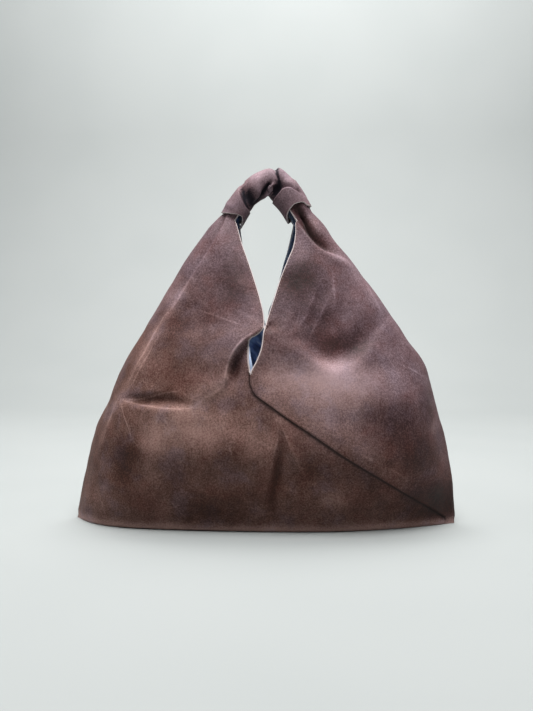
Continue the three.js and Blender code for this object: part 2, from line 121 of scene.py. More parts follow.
# Outline from the front, and how steeply each section plane climbs away from the bag's axis
OUTLINE = table(
    "level left right left_slant right_slant",
    (0.0, 1.0, 1.0, 0, 0),
    (0.026, 0.993, 0.998, 0, 0),
    (0.145, 0.957, 0.99, 0, 0),
    (0.29, 0.905, 0.948, 0, 0),
    (0.42, 0.825, 0.9, 0, 0),
    (0.533, 0.75, 0.85, 0, 0),
    (0.64, 0.65, 0.75, 0.01, 0),
    (0.745, 0.535, 0.617, 0.08, 0.06),
    (0.83, 0.43, 0.492, 0.19, 0.14),
    (0.9, 0.337, 0.385, 0.34, 0.26),
)

# Mouth edges, and below the V the middle line. x is to the right, and y a share of the depth at that level.
FRONT_EDGES = table(
    "level left right y",
    (0.0, 0, 0, 1.0),
    (0.026, 0, 0, 1.08),
    (0.145, -0.009, -0.009, 1.055),
    (0.29, -0.022, -0.022, 0.93),
    (0.42, -0.035, -0.035, 0.9),
    (0.533, -0.037, -0.037, 0.86),
    (0.575, -0.047, -0.008, 0.86),
    (0.62, -0.051, 0.016, 0.86),
    (0.642, -0.043, 0.021, 0.85),
    (0.664, 0.001, 0.024, 0.83),
    (0.685, 0.028, 0.032, 0.78),
    (0.72, 0.024, 0.046, 0.71),
    (0.775, 0.004, 0.072, 0.62),
    (0.83, -0.025, 0.098, 0.52),
    (0.88, -0.056, 0.134, 0.43),
    (0.93, -0.09, 0.163, 0.33),
)
BACK_EDGES = table(
    "level left right y",
    (0.0, 0, 0, 1.0),
    (0.026, 0, 0, 1.08),
    (0.145, 0, 0, 1.045),
    (0.29, 0, 0, 0.92),
    (0.42, 0, 0, 0.9),
    (0.533, 0, 0, 0.85),
    (0.6, -0.006, 0.004, 0.84),
    (0.68, -0.009, 0.006, 0.78),
    (0.73, -0.02, 0.012, 0.69),
    (0.78, -0.04, 0.042, 0.6),
    (0.83, -0.068, 0.07, 0.51),
    (0.88, -0.095, 0.096, 0.42),
    (0.93, -0.117, 0.122, 0.33),
)

# Panels from a mouth edge to the side fold. Each section is a conic arc: the place of its corner along the
# half section, its distance from the axis and its fullness. Front right and back left lie over the others.
OVER_PANEL = table(
    "level reach out weight",
    (0.0, 0.56, 1.0, 1.2),
    (0.026, 0.58, 1.08, 1.2),
    (0.145, 0.72, 1.105, 1.25),
    (0.29, 0.8, 1.02, 1.3),
    (0.42, 0.84, 1.06, 1.25),
    (0.5, 0.85, 0.94, 1.15),
    (0.58, 0.86, 0.76, 1.05),
    (0.66, 0.88, 0.62, 1.0),
    (0.76, 0.9, 0.52, 1.0),
    (0.84, 0.93, 0.46, 1.0),
    (0.92, 0.96, 0.38, 0.9),
)
UNDER_PANEL = table(
    "level reach out weight",
    (0.0, 0.84, 1.0, 1.8),
    (0.026, 0.85, 1.08, 1.8),
    (0.145, 0.84, 1.08, 1.6),
    (0.29, 0.84, 0.98, 1.4),
    (0.38, 0.85, 0.96, 1.3),
    (0.46, 0.87, 0.8, 1.2),
    (0.58, 0.89, 0.68, 1.15),
    (0.66, 0.9, 0.6, 1.1),
    (0.76, 0.92, 0.52, 1.1),
    (0.84, 0.94, 0.46, 1.0),
    (0.92, 0.96, 0.38, 0.9),
)

# The seam, from where it leaves the middle line to the corner
SEAM = table(
    "x level",
    (-0.037, 0.5),
    (-0.022, 0.474),
    (0.0, 0.458),
    (0.03, 0.444),
    (0.08, 0.421),
    (0.149, 0.388),
    (0.267, 0.335),
    (0.433, 0.258),
    (0.62, 0.177),
    (0.732, 0.126),
    (0.89, 0.052),
    (0.983, 0.0075),
    (1.0, 0.0),
)

# Folds of the front. path is points of x and level. left and right are the height and the width of the fold
# in millimetres on each side of the way along it, so two different heights make a step, which is soft
# millimetres wide. Its rubbing and shading is how much lighter the fold is painted, over glow millimetres:
# where positive, rubbed wax and painted highlight on ridges, where negative, painted shade in hollows and
# under steps. It may be a pair too, one for each side of a step, its lit side and its shaded side.
FOLDS = (
    dict(name="left side ridge", left=(2.6, 18), right=(1.6, 14), rub_and_shading=0.3, glow=7,
         path=((-0.17, 1.07), (-0.24, 0.985), (-0.33, 0.885), (-0.396, 0.808), (-0.468, 0.721),
               (-0.56, 0.629), (-0.636, 0.527), (-0.706, 0.445), (-0.758, 0.394), (-0.812, 0.297))),
    dict(name="left neck overlap", left=(1.5, 6), right=(-7.5, 7), soft=1.5, rub_and_shading=-0.25, glow=3,
         path=((-0.185, 1.075), (-0.215, 1.02), (-0.25, 0.965), (-0.335, 0.87), (-0.4, 0.795),
               (-0.45, 0.735))),
    # Painted shade in the recess below the ledge, and a painted highlight on the ledge above it.
    dict(name="mouth ledge", left=(-6.5, 12), right=(3.5, 18), soft=1.0, rub_and_shading=(-0.45, 0.2), glow=7,
         path=((0.02, 0.676), (-0.046, 0.641), (-0.082, 0.617), (-0.113, 0.592), (-0.13, 0.568),
               (-0.142, 0.541), (-0.152, 0.51), (-0.175, 0.485))),
    dict(name="ledge's tail", left=(-1, 12), right=(4, 22), soft=6, rub_and_shading=0.3, glow=10,
         path=((-0.16, 0.5), (-0.2, 0.478), (-0.25, 0.455), (-0.31, 0.43), (-0.37, 0.415))),
    dict(name="recess by the mouth", left=(-3, 9), right=(-3, 8), rub_and_shading=-0.4, glow=6,
         path=((-0.085, 0.595), (-0.108, 0.565), (-0.123, 0.53), (-0.128, 0.5))),
    dict(name="below the ledge", left=(-3, 20), right=(-3, 14), rub_and_shading=-0.1, glow=14,
         path=((-0.1, 0.45), (-0.18, 0.42), (-0.26, 0.39))),
    dict(name="sliver dent", left=(-5.5, 5), right=(-5.5, 6), rub_and_shading=-0.3, glow=4.5,
         path=((-0.66, 0.438), (-0.56, 0.442), (-0.47, 0.444), (-0.4, 0.438), (-0.34, 0.43))),
    dict(name="sliver's brow", left=(2.2, 9), right=(0, 4), soft=2, rub_and_shading=0.0, glow=3,
         path=((-0.69, 0.44), (-0.58, 0.452), (-0.48, 0.464), (-0.385, 0.472))),
    dict(name="sliver's sill", left=(0, 4), right=(2.4, 10), soft=2, rub_and_shading=0.0, glow=5,
         path=((-0.7, 0.434), (-0.6, 0.424), (-0.5, 0.417), (-0.4, 0.414), (-0.33, 0.42))),
    dict(name="left fan ridge", left=(4, 8), right=(4, 11), rub_and_shading=0.15, glow=6,
         path=((0.09, 0.4), (0.105, 0.35), (0.082, 0.28), (0.055, 0.2), (0.036, 0.12))),
    dict(name="fan valley", left=(-7, 6), right=(-7, 5), rub_and_shading=-0.45, glow=5,
         path=((0.118, 0.36), (0.107, 0.29), (0.09, 0.2), (0.068, 0.12), (0.06, 0.06))),
    dict(name="right fan ridge", left=(4, 9), right=(4, 6), rub_and_shading=0.15, glow=5,
         path=((0.115, 0.385), (0.135, 0.345), (0.165, 0.296), (0.205, 0.235), (0.24, 0.18))),
    dict(name="right fan valley", left=(-2.6, 12), right=(-2.6, 10), rub_and_shading=-0.15, glow=8,
         path=((0.17, 0.335), (0.21, 0.28), (0.25, 0.22), (0.28, 0.14))),
    dict(name="middle fan", left=(1.8, 14), right=(1.8, 14), rub_and_shading=0.1, glow=9,
         path=((0.0, 0.43), (-0.03, 0.34), (-0.04, 0.2))),
    dict(name="panel's brow", left=(-7, 30), right=(6, 24), soft=7, rub_and_shading=0.0, glow=8,
         path=((0.1, 0.66), (0.2, 0.622), (0.3, 0.578), (0.37, 0.562), (0.44, 0.572), (0.51, 0.605),
               (0.57, 0.65))),
    dict(name="bowl", left=(-2.5, 22), right=(-2.5, 22), rub_and_shading=-0.25, glow=26,
         path=((0.2, 0.8), (0.3, 0.7), (0.42, 0.64), (0.52, 0.68))),
    dict(name="bowl's first crease", left=(0.9, 6), right=(0.9, 6), rub_and_shading=0.12, glow=4,
         path=((0.3, 0.85), (0.25, 0.77), (0.21, 0.7), (0.12, 0.645))),
    dict(name="bowl's second crease", left=(0.9, 6), right=(0.9, 6), rub_and_shading=0.12, glow=3,
         path=((0.36, 0.85), (0.368, 0.78), (0.37, 0.74))),
    dict(name="bowl's third crease", left=(0.9, 6), right=(0.9, 6), rub_and_shading=0.12, glow=4,
         path=((0.34, 0.79), (0.31, 0.74), (0.27, 0.67))),
    dict(name="right neck overlap", left=(-9, 6), right=(2.5, 8), soft=1.5, rub_and_shading=0.0, glow=4,
         path=((0.138, 1.13), (0.15, 1.09), (0.182, 1.05), (0.232, 1.0), (0.292, 0.956), (0.375, 0.918))),
    dict(name="right neck ridge", left=(1.2, 8), right=(1.2, 7), rub_and_shading=0.25, glow=4,
         path=((0.235, 1.005), (0.3, 0.955), (0.38, 0.918), (0.45, 0.885), (0.52, 0.83))),
    # Painted shade in the deep valley inside the right neck.
    dict(name="inside right neck", left=(-4, 6), right=(-3, 4), rub_and_shading=-1.1, glow=6,
         path=((0.165, 1.12), (0.188, 1.08), (0.225, 1.03), (0.28, 0.98), (0.36, 0.94))),
    dict(name="right side roll", left=(1.8, 12), right=(1.8, 10), rub_and_shading=0.2, glow=8,
         path=((0.33, 1.0), (0.42, 0.92), (0.54, 0.8), (0.66, 0.7), (0.74, 0.6))),
    dict(name="band over the seam", left=(1.2, 14), right=(1.2, 14), rub_and_shading=0.16, glow=13,
         path=((0.16, 0.43), (0.3, 0.37), (0.46, 0.3), (0.62, 0.225), (0.8, 0.15))),
    dict(name="right belly hollow", left=(-2.5, 26), right=(-2.5, 30), rub_and_shading=-0.15, glow=24,
         path=((0.5, 0.44), (0.62, 0.38), (0.76, 0.36))),
    dict(name="left low hollow", left=(-3, 26), right=(-3, 30), rub_and_shading=-0.1, glow=18,
         path=((-0.6, 0.36), (-0.645, 0.27), (-0.67, 0.14))),
    dict(name="left belly crown", left=(3.5, 30), right=(3.5, 34), rub_and_shading=0.18, glow=24,
         path=((-0.56, 0.34), (-0.4, 0.355), (-0.24, 0.39))),
)

# Fine crease lines, drawn crisp in the wax where creases rub it pale. Their rubbing is how light they are,
# wide is in millimetres, and lines that come near each other are in different sets.
CREASES = (
    dict(kind=0, rub_and_shading=0.7, wide=1.0, path=((-0.71, 0.434), (-0.6, 0.444), (-0.48, 0.462), (-0.38, 0.473))),
    dict(kind=1, rub_and_shading=0.65, wide=1.1,
         path=((-0.72, 0.434), (-0.62, 0.427), (-0.5, 0.417), (-0.4, 0.413), (-0.33, 0.418), (-0.28, 0.436))),
    dict(kind=2, rub_and_shading=0.6, wide=1.0, path=((-0.705, 0.43), (-0.68, 0.385), (-0.652, 0.345), (-0.64, 0.31))),
    dict(kind=0, rub_and_shading=0.6, wide=1.2,
         path=((-0.44, 0.757), (-0.52, 0.68), (-0.6, 0.58), (-0.66, 0.5), (-0.705, 0.45))),
    dict(kind=2, rub_and_shading=0.5, wide=1.0, path=((-0.5, 0.66), (-0.58, 0.565), (-0.64, 0.49), (-0.7, 0.44))),
    dict(kind=1, rub_and_shading=0.55, wide=1.1, path=((-0.72, 0.44), (-0.76, 0.385), (-0.8, 0.32), (-0.82, 0.27))),
    dict(kind=1, rub_and_shading=0.4, wide=1.2,
         path=((-0.4, 0.75), (-0.3, 0.735), (-0.2, 0.713), (-0.1, 0.692), (0.0, 0.68))),
    dict(kind=0, rub_and_shading=0.5, wide=1.2, path=((-0.25, 0.985), (-0.33, 0.895), (-0.4, 0.815), (-0.46, 0.74))),
    dict(kind=2, rub_and_shading=0.5, wide=1.6,
         path=((-0.142, 0.541), (-0.152, 0.513), (-0.175, 0.49), (-0.22, 0.466), (-0.29, 0.44))),
    # This pale line along the mouth ledge's crest is a painted highlight, where the light from above falls on
    # the ridge.
    dict(kind=0, rub_and_shading=1.8, wide=1.2,
         path=((-0.03, 0.66), (-0.06, 0.647), (-0.093, 0.625), (-0.123, 0.599), (-0.142, 0.572),
               (-0.154, 0.543), (-0.163, 0.51))),
    dict(kind=1, rub_and_shading=0.4, wide=0.9, path=((-0.6, 0.515), (-0.57, 0.49), (-0.545, 0.47))),
    dict(kind=1, rub_and_shading=0.4, wide=0.9, path=((-0.21, 0.585), (-0.192, 0.565), (-0.18, 0.545))),
    dict(kind=0, rub_and_shading=0.5, wide=0.9, path=((-0.47, 0.385), (-0.45, 0.375), (-0.435, 0.365))),
    dict(kind=0, rub_and_shading=0.4, wide=0.9, path=((-0.45, 0.115), (-0.41, 0.085), (-0.36, 0.04))),
    dict(kind=1, rub_and_shading=0.35, wide=0.9, path=((-0.34, 0.79), (-0.3, 0.77), (-0.27, 0.765))),
    dict(kind=0, rub_and_shading=0.45, wide=1.3, path=((0.08, 0.4), (0.1, 0.352), (0.084, 0.285), (0.062, 0.225))),
    dict(kind=1, rub_and_shading=0.4, wide=1.3, path=((0.1, 0.39), (0.128, 0.348), (0.16, 0.298), (0.2, 0.246))),
    dict(kind=0, rub_and_shading=0.5, wide=1.1, path=((0.67, 0.566), (0.74, 0.546), (0.83, 0.51))),
    dict(kind=0, rub_and_shading=0.4, wide=1.2, path=((0.305, 0.845), (0.26, 0.77), (0.21, 0.7), (0.12, 0.645))),
    dict(kind=1, rub_and_shading=0.35, wide=1.0, path=((0.36, 0.86), (0.368, 0.79), (0.372, 0.74))),
    dict(kind=2, rub_and_shading=0.35, wide=1.2, path=((0.35, 0.79), (0.31, 0.735), (0.265, 0.67), (0.24, 0.63))),
    dict(kind=2, rub_and_shading=0.35, wide=1.0, path=((0.2, 0.77), (0.19, 0.71), (0.15, 0.66))),
    dict(kind=1, rub_and_shading=0.4, wide=1.4, path=((0.49, 0.275), (0.58, 0.245), (0.68, 0.205), (0.76, 0.17))),
    dict(kind=2, rub_and_shading=0.7, wide=1.3,
         path=((0.165, 1.1), (0.18, 1.07), (0.205, 1.027), (0.238, 0.995), (0.305, 0.952), (0.395, 0.915),
               (0.45, 0.885))),
    dict(kind=0, rub_and_shading=0.35, wide=1.0, path=((0.52, 0.84), (0.58, 0.76), (0.64, 0.7))),
    dict(kind=1, rub_and_shading=0.3, wide=0.9, path=((0.86, 0.4), (0.875, 0.36), (0.87, 0.32))),
    dict(kind=2, rub_and_shading=0.3, wide=0.9, path=((-0.14, 0.3), (-0.125, 0.27), (-0.12, 0.24))),
    dict(kind=2, rub_and_shading=0.3, wide=0.9, path=((-0.86, 0.14), (-0.82, 0.1), (-0.8, 0.06))),
    dict(kind=1, rub_and_shading=0.3, wide=0.8, path=((0.02, 0.08), (-0.06, 0.095), (-0.12, 0.1))),
)
CREASE_KINDS = 3

# Patches painted lighter and darker: wax rubbed by handling and darkened by oil, painted highlight on faces
# turned up to the light, and painted shade in hollows. Radii are in millimetres.
PATCHES = table(
    "x level wide tall tone",
    (-0.523, 0.31, 20, 14, 0.35),
    (-0.533, 0.23, 10, 18, 0.3),
    (-0.66, 0.27, 16, 12, -0.2),
    (-0.68, 0.2, 12, 18, -0.3),
    (-0.23, 0.08, 32, 22, -0.4),
    (0.12, 0.18, 40, 34, -0.15),
    (0.37, 0.12, 16, 12, 0.35),
    (-0.4, 0.79, 12, 8, 0.35),
    (-0.2, 0.72, 26, 20, -0.2),
    (-0.4, 0.68, 34, 18, -0.2),
    (-0.16, 0.5, 14, 20, 0.3),
    (0.06, 0.53, 16, 26, 0.25),
    (0.02, 0.3, 20, 18, 0.2),
    (-0.36, 0.2, 20, 16, -0.2),
    (0.78, 0.25, 20, 24, -0.25),
    (-0.3, 0.6, 50, 24, 0.15),
    # painted highlight on the shelf below the right neck, which faces up to the light
    (0.32, 0.52, 52, 18, 1.0),
    (0.4, 0.48, 60, 30, 0.35),
    # painted shade in the hollow above the panel's brow
    (0.38, 0.63, 34, 10, -0.4),
    (0.3, 0.74, 24, 26, -0.2),
    (0.52, 0.64, 14, 20, -0.2),
    (0.19, 0.84, 24, 22, -0.8),
    (-0.14, 0.83, 18, 30, -0.35),
    (-0.16, 0.27, 16, 18, -0.25),
    (0.68, 0.36, 34, 40, -0.2),
    (0.36, 0.42, 50, 26, 0.25),
    (0.5, 0.16, 60, 30, -0.2),
    (-0.36, 0.36, 46, 26, 0.3),
    (0.78, 0.12, 30, 14, -0.3),
    (0.873, 0.342, 6, 8, 0.5),
    (-0.14, 0.36, 40, 22, 0.25),
    (-0.9, 0.05, 30, 22, 0.25),
    (0.93, 0.07, 32, 30, -0.75),
)
BACK_FOLD_SHARE = 0.7  # the back's folds are shallower
LIP_RISE = 2.6 * MM  # the over panel's edge at the bottom of the V
SEAM_RISE = 1.6 * MM  # and along the rest of the seam
SEAM_FOOT = 0.7 * MM  # the under panel sinks beside the seam
SEAM_STEP = 0.8 * MM  # across the step
LIP_SHARE = 0.2  # share of the seam over which its edge comes down from the first rise to the second
LIP_WIDE = 16 * MM  # how far from the seam the over panel is lifted
SINK_WIDE = 7 * MM  # and the under panel sinks
SEAM_LINE_OVER_NARROWING = 6  # a dark line lies beside the seam on its under side, dirt and painted shadow under the over panel's edge, and this many times less wide on the other
HEM_ROUND = 8 * MM
FLAT_FOOT = 3 * MM  # no fold or seam lifts the cloth this near the floor
FOOT_RISE = 9 * MM  # above it, folds come up to their height over this much
SIDE_FADE = 6 * MM  # folds fade out this near the side folds
TUCK_FADE = 18 * MM  # and inside the sleeve, over this much
TUCK_RISE = 0.2 * MM  # the most that a fold rises inside the sleeve
HEM_LIGHTENING = 1.3  # the bag's foot is painted lighter
UPPER_EDGE_SHARE = 0.2  # above the V's bottom the pale edge, worn thread and painted highlight, gets narrower, over this share of the neck's level
UPPER_NARROW = 0.7  # by then a distance from the edge counts for this much more
END_SHARE, FADE_SHAPE = 0.02, 0.5  # folds and creases end suddenly, the more so the smaller the second
FOLD_REACH = 3  # how many of its widths a fold reaches
USUAL_SOFT = 3  # millimetres, across the step of a fold that doesn't say
NO_LINE = 9.0  # line widths from a crease, where there is none near
CREASE_REACH = 9 * MM
CREASE_FADE = 4 * MM  # creases fade out between this and twice this from them
RIPPLE_WAVES_MM = (70, 52, 40, 30, 22, 16)
WAVES_EACH = 5
RIPPLE_SHAPE = 1.2  # over 1, the short waves are lower for their length than the long ones
RIPPLE_SPREAD = 2.5  # about how high the waves' sum usually is
SLEEVE_RIPPLE = 0.7  # the sleeve's ripples, as a share of the bag's
STITCH_LIFT = 0.2  # how far a stitch's middle lies above the canvas, as a share of its thread
LEFT_FRONT = 2  # place of the left front quarter among the four
LIP_LEVEL, LIP_SPREAD = 0.56, 0.035  # where the lining rolls out over the canvas
LIP_ROLL = np.array([2.6, -2.2, 0.0]) * MM
SLEEVE_CUT = (0.124, 0.1)  # the sleeve's strip, along it and around it

CAMERA_LENS = 42.03
CAMERA_SENSOR = 36
CAMERA_PLACE = (0.0698, -0.9976, 0.249)
CAMERA_TIP = 2.79  # degrees down
CAMERA_TURN = -3.76  # degrees, to the right of straight ahead

# The sleeve's middle line, left end to right end, as shares of its span and its rise, and at each place the
# shares of its thickness and its depth
SLEEVE_LINE = table(
    "along x rise thick deep",
    (0.0, -0.5, 0.0, 0.9, 1.0),
    (0.22, -0.34, 0.43, 0.9, 0.96),
    (0.42, -0.11, 0.8, 0.92, 0.88),
    (0.57, 0.07, 0.915, 0.94, 0.86),
    (0.74, 0.25, 0.65, 1.14, 0.96),
    (1.0, 0.5, 0.0, 1.06, 1.08),
)

# Folds of the sleeve. path is points of the share of its length and the share of a turn from its outer side
# over its front. The other columns are as for the bag's folds. Their darkening is painted shade in the
# hollows and painted shadow under the bands.
SLEEVE_FOLDS = (
    dict(name="left band over the middle", left=(1.6, 12), right=(-6, 8), soft=0.5, rub_and_shading=0.0, glow=2,
         path=((0.28, 0.09), (0.25, 0.193), (0.22, 0.273), (0.185, 0.368), (0.165, 0.5))),
    # Painted shadow that the left band casts on the middle.
    dict(name="under the left band", left=(0, 2), right=(-1.5, 5), rub_and_shading=-1.3, glow=2.2,
         path=((0.305, 0.09), (0.268, 0.19), (0.238, 0.273), (0.205, 0.365), (0.185, 0.48))),
    dict(name="left hollow", left=(-6, 4), right=(-6, 6), rub_and_shading=-1.5, glow=5,
         path=((0.315, 0.2), (0.285, 0.31), (0.265, 0.42), (0.255, 0.53))),
    dict(name="swell of the middle", left=(2.5, 6), right=(2.5, 6), rub_and_shading=0.3, glow=6,
         path=((0.46, 0.14), (0.44, 0.2), (0.4, 0.27), (0.37, 0.36), (0.33, 0.42))),
    dict(name="middle valley", left=(-5, 3), right=(-5, 3), rub_and_shading=-1.8, glow=2.8,
         path=((0.56, 0.285), (0.51, 0.325), (0.445, 0.365), (0.34, 0.44), (0.29, 0.49))),
    dict(name="twisted ridge", left=(2.6, 2.4), right=(2.6, 2.4), rub_and_shading=0.8, glow=1.6,
         path=((0.66, 0.24), (0.625, 0.3), (0.57, 0.36), (0.49, 0.41), (0.43, 0.45), (0.37, 0.51))),
    dict(name="right hollow", left=(-6.5, 5), right=(-6.5, 3), rub_and_shading=-1.9, glow=4.5,
         path=((0.655, 0.2), (0.672, 0.25), (0.688, 0.3), (0.7, 0.37), (0.71, 0.43))),
    dict(name="overlap on the top", left=(-3.2, 2.5), right=(2, 7), soft=0.4, rub_and_shading=-1.2, glow=0.9,
         path=((0.585, -0.12), (0.587, -0.03), (0.593, 0.073), (0.603, 0.15), (0.638, 0.205), (0.69, 0.25))),
    dict(name="right band over the middle", left=(2.5, 14), right=(-4.5, 4), soft=0.5, rub_and_shading=0.0, glow=2,
         path=((0.745, 0.53), (0.738, 0.43), (0.73, 0.358), (0.72, 0.288), (0.722, 0.24), (0.74, 0.198),
               (0.76, 0.175), (0.785, 0.162), (0.82, 0.13), (0.86, 0.08))),
    dict(name="right band's lip", left=(0.4, 1.5), right=(0.4, 1), rub_and_shading=0.5, glow=1.1,
         path=((0.742, 0.43), (0.734, 0.358), (0.724, 0.288), (0.726, 0.24), (0.744, 0.2), (0.765, 0.178),
               (0.79, 0.165))),
    dict(name="rubbed top of the middle", left=(0, 8), right=(0, 8), rub_and_shading=0.5, glow=9,
         path=((0.38, 0.08), (0.46, 0.12), (0.53, 0.15))),
    dict(name="rubbed top of the right band", left=(0, 8), right=(0, 8), rub_and_shading=0.5, glow=8,
         path=((0.64, 0.08), (0.7, 0.13), (0.76, 0.1))),
    dict(name="outer wrinkle", left=(-1.4, 3), right=(1, 4), soft=1, rub_and_shading=-0.4, glow=1.4,
         path=((0.7, 0.0), (0.74, 0.06), (0.78, 0.1), (0.82, 0.11))),
    dict(name="left cuff roll", left=(1.0, 5), right=(1.0, 6), rub_and_shading=0.2, glow=3,
         path=((0.13, -0.05), (0.115, 0.1), (0.12, 0.25))),
    dict(name="back tuck", left=(2, 10), right=(-4.5, 6), soft=0.8, rub_and_shading=-0.6, glow=4,
         path=((0.36, 0.98), (0.4, 0.85), (0.46, 0.7), (0.5, 0.56))),
    dict(name="back ridge", left=(2.4, 4), right=(2.4, 5), rub_and_shading=0.3, glow=1.8,
         path=((0.45, 0.97), (0.5, 0.84), (0.56, 0.7), (0.59, 0.58))),
    dict(name="back hollow", left=(-4, 5), right=(-4, 5), rub_and_shading=-0.8, glow=5,
         path=((0.6, 0.93), (0.63, 0.8), (0.66, 0.66), (0.67, 0.56))),
)

CUFF_EDGE_NARROWING = 2.6  # how much narrower a cuff's pale edge is than the mouth's

# How far each cuff's mouth rides up around the sleeve, as a share of its arch
CUFFS = table(
    "turn left right",
    (0.0, 0.0, 0.4),
    (0.1, 0.08, 0.62),
    (0.13, 0.14, 0.9),
    (0.17, 0.25, 1.02),
    (0.24, 0.44, 1.12),
    (0.3, 0.66, 1.03),
    (0.36, 0.72, 0.86),
    (0.42, 0.35, 0.62),
    (0.5, -0.5, 0.25),
    (0.6, 0.1, 0.3),
    (0.75, 0.5, 0.55),
    (0.9, 0.25, 0.5),
    (1.0, 0.0, 0.4),
)


class BagSizes(bpy.types.PropertyGroup):
    """Sizes of the bag that a maker would change"""

    base_depth: bpy.props.FloatProperty(
        name="Base depth", description="Front to back in the middle of the base",
        default=109 * MM, unit="LENGTH")
    belly_depth: bpy.props.FloatProperty(
        name="Belly depth", description="Front to back where the cloth bulges most",
        default=184 * MM, unit="LENGTH")
    neck_level: bpy.props.FloatProperty(
        name="Neck level", description="Height on the axis where a peak enters the sleeve",
        default=345 * MM, unit="LENGTH")
    canvas: bpy.props.FloatProperty(
        name="Canvas", description="Thickness of the waxed canvas", default=1.2 * MM, unit="LENGTH")
    lining: bpy.props.FloatProperty(
        name="Lining", description="Thickness of the cotton lining", default=1.0 * MM, unit="LENGTH")
    ply_gap: bpy.props.FloatProperty(
        name="Ply gap", description="Between the canvas and the lining", default=0.3 * MM, unit="LENGTH")
    tuck: bpy.props.FloatProperty(
        name="Tuck", description="How far each peak runs inside the sleeve", default=26 * MM, unit="LENGTH")
    seat_gap: bpy.props.FloatProperty(
        name="Seat gap", description="Between a peak and the sleeve", default=0.6 * MM, unit="LENGTH")
    ripple: bpy.props.FloatProperty(
        name="Ripple", description="Height of the cloth's small random waves",
        default=0.55 * MM, unit="LENGTH")


class SleeveSizes(bpy.types.PropertyGroup):
    """Sizes of the sleeve that is the handle"""

    span: bpy.props.FloatProperty(
        name="Span", description="Between the middles of its ends", default=84 * MM, unit="LENGTH")
    rise: bpy.props.FloatProperty(
        name="Rise", description="From its ends to the top of its middle line",
        default=49 * MM, unit="LENGTH")
    offset: bpy.props.FloatProperty(
        name="Offset", description="How far it hangs to the right of the axis",
        default=4.6 * MM, unit="LENGTH")
    lift: bpy.props.FloatProperty(
        name="Lift", description="From the neck's level up to its ends", default=18.6 * MM, unit="LENGTH")
    thick: bpy.props.FloatProperty(
        name="Thickness", description="Across it, from the front", default=33 * MM, unit="LENGTH")
    deep: bpy.props.FloatProperty(
        name="Depth", description="Across it, front to back", default=30 * MM, unit="LENGTH")
    wall: bpy.props.FloatProperty(
        name="Wall", description="Two turned plies of canvas", default=2.2 * MM, unit="LENGTH")
    arch: bpy.props.FloatProperty(
        name="Cuff arch", description="How far each cuff's mouth rides up at the front",
        default=13 * MM, unit="LENGTH")


class StitchSizes(bpy.types.PropertyGroup):
    """Topstitching along the mouth edges"""

    pitch: bpy.props.FloatProperty(
        name="Pitch", description="From one stitch to the next", default=4.2 * MM, unit="LENGTH")
    length: bpy.props.FloatProperty(
        name="Stitch length", description="Length of the thread that shows", default=3.2 * MM, unit="LENGTH")
    thread: bpy.props.FloatProperty(
        name="Thread", description="Thickness of the thread", default=0.55 * MM, unit="LENGTH")
    inset: bpy.props.FloatProperty(
        name="Inset", description="From the mouth edge to the stitches", default=2.6 * MM, unit="LENGTH")


def linear(hex_colour):
    """An sRGB hex colour as linear red, green, blue and alpha."""
    parts = [int(hex_colour[i:i + 2], 16) / 255 for i in (1, 3, 5)]
    return [c / 12.92 if c <= 0.04045 else ((c + 0.055) / 1.055) ** 2.4 for c in parts] + [1.0]


def sleeve_frame(sleeve, bag, along):
    """The sleeve's middle points, the ways along it and the ways outwards from its arch."""
    def middle(s):
        x = sleeve.offset + read(SLEEVE_LINE, "x", s, "along") * sleeve.span
        z = bag.neck_level + sleeve.lift + read(SLEEVE_LINE, "rise", s, "along") * sleeve.rise
        return np.stack([x, np.zeros_like(x), z], -1)

    along = np.asarray(along, float)
    inside = np.clip(along, 0, 1)
    probe = 0.02
    way = middle(np.minimum(inside + probe, 1)) - middle(np.maximum(inside - probe, 0))
    way /= np.linalg.norm(way, axis=-1, keepdims=True)
    outwards = np.stack([-way[..., 2], np.zeros_like(way[..., 0]), way[..., 0]], -1)
    past_end = (along - inside)[..., None] * SLEEVE_CUT[0]
    return middle(inside) + way * past_end, way, outwards


def sleeve_length(sleeve, bag):
    """Length of the sleeve's middle line."""
    points = sleeve_frame(sleeve, bag, np.linspace(0, 1, ARC_STEPS))[0]
    return np.linalg.norm(np.diff(points, axis=0), axis=1).sum()


def smooth_path(points, steps=8):
    """A smooth line through a few points."""
    p = np.array(points, float)
    p = np.vstack([2 * p[0] - p[1], p, 2 * p[-1] - p[-2]])
    t = np.linspace(0, 1, steps, endpoint=False)[:, None]
    pieces = [
        0.5 * (2 * b + (c - a) * t + (2 * a - 5 * b + 4 * c - d) * t**2 + (3 * b - a - 3 * c + d) * t**3)
        for a, b, c, d in zip(p[:-3], p[1:-2], p[2:-1], p[3:])
    ]
    return np.vstack(pieces + [p[-2:-1]])


def along_path(points, path):
    """For each point: its distance from a path, on which side it is, and its place along it."""
    starts, legs = path[:-1], np.diff(path, axis=0)
    lengths = np.linalg.norm(legs, axis=1)
    before = np.concatenate([[0], np.cumsum(lengths)])
    best = np.full(len(points), np.inf)
    side = np.zeros(len(points))
    place = np.zeros(len(points))
    for k, (start, leg) in enumerate(zip(starts, legs)):
        rel = points - start
        t = np.clip(rel @ leg / max(leg @ leg, 1e-12), 0, 1)
        gap = rel - t[:, None] * leg
        away = np.hypot(gap[:, 0], gap[:, 1])
        nearer = away < best
        cross = leg[0] * rel[:, 1] - leg[1] * rel[:, 0]
        best = np.where(nearer, away, best)
        side = np.where(nearer, np.sign(cross), side)
        place = np.where(nearer, (before[k] + t * lengths[k]) / before[-1], place)
    return best, side, place


def near_path(points, path, reach):
    """Indices of the points within reach of a path's box, and their distance, side and place on it."""
    low, high = path.min(0) - reach, path.max(0) + reach
    chosen = np.flatnonzero(((points > low) & (points < high)).all(1))
    return chosen, *along_path(points[chosen], path)


def fade(place):
    """Fades a fold in and out towards its ends."""
    return np.sin(math.pi * np.clip(place, END_SHARE, 1 - END_SHARE)) ** FADE_SHAPE


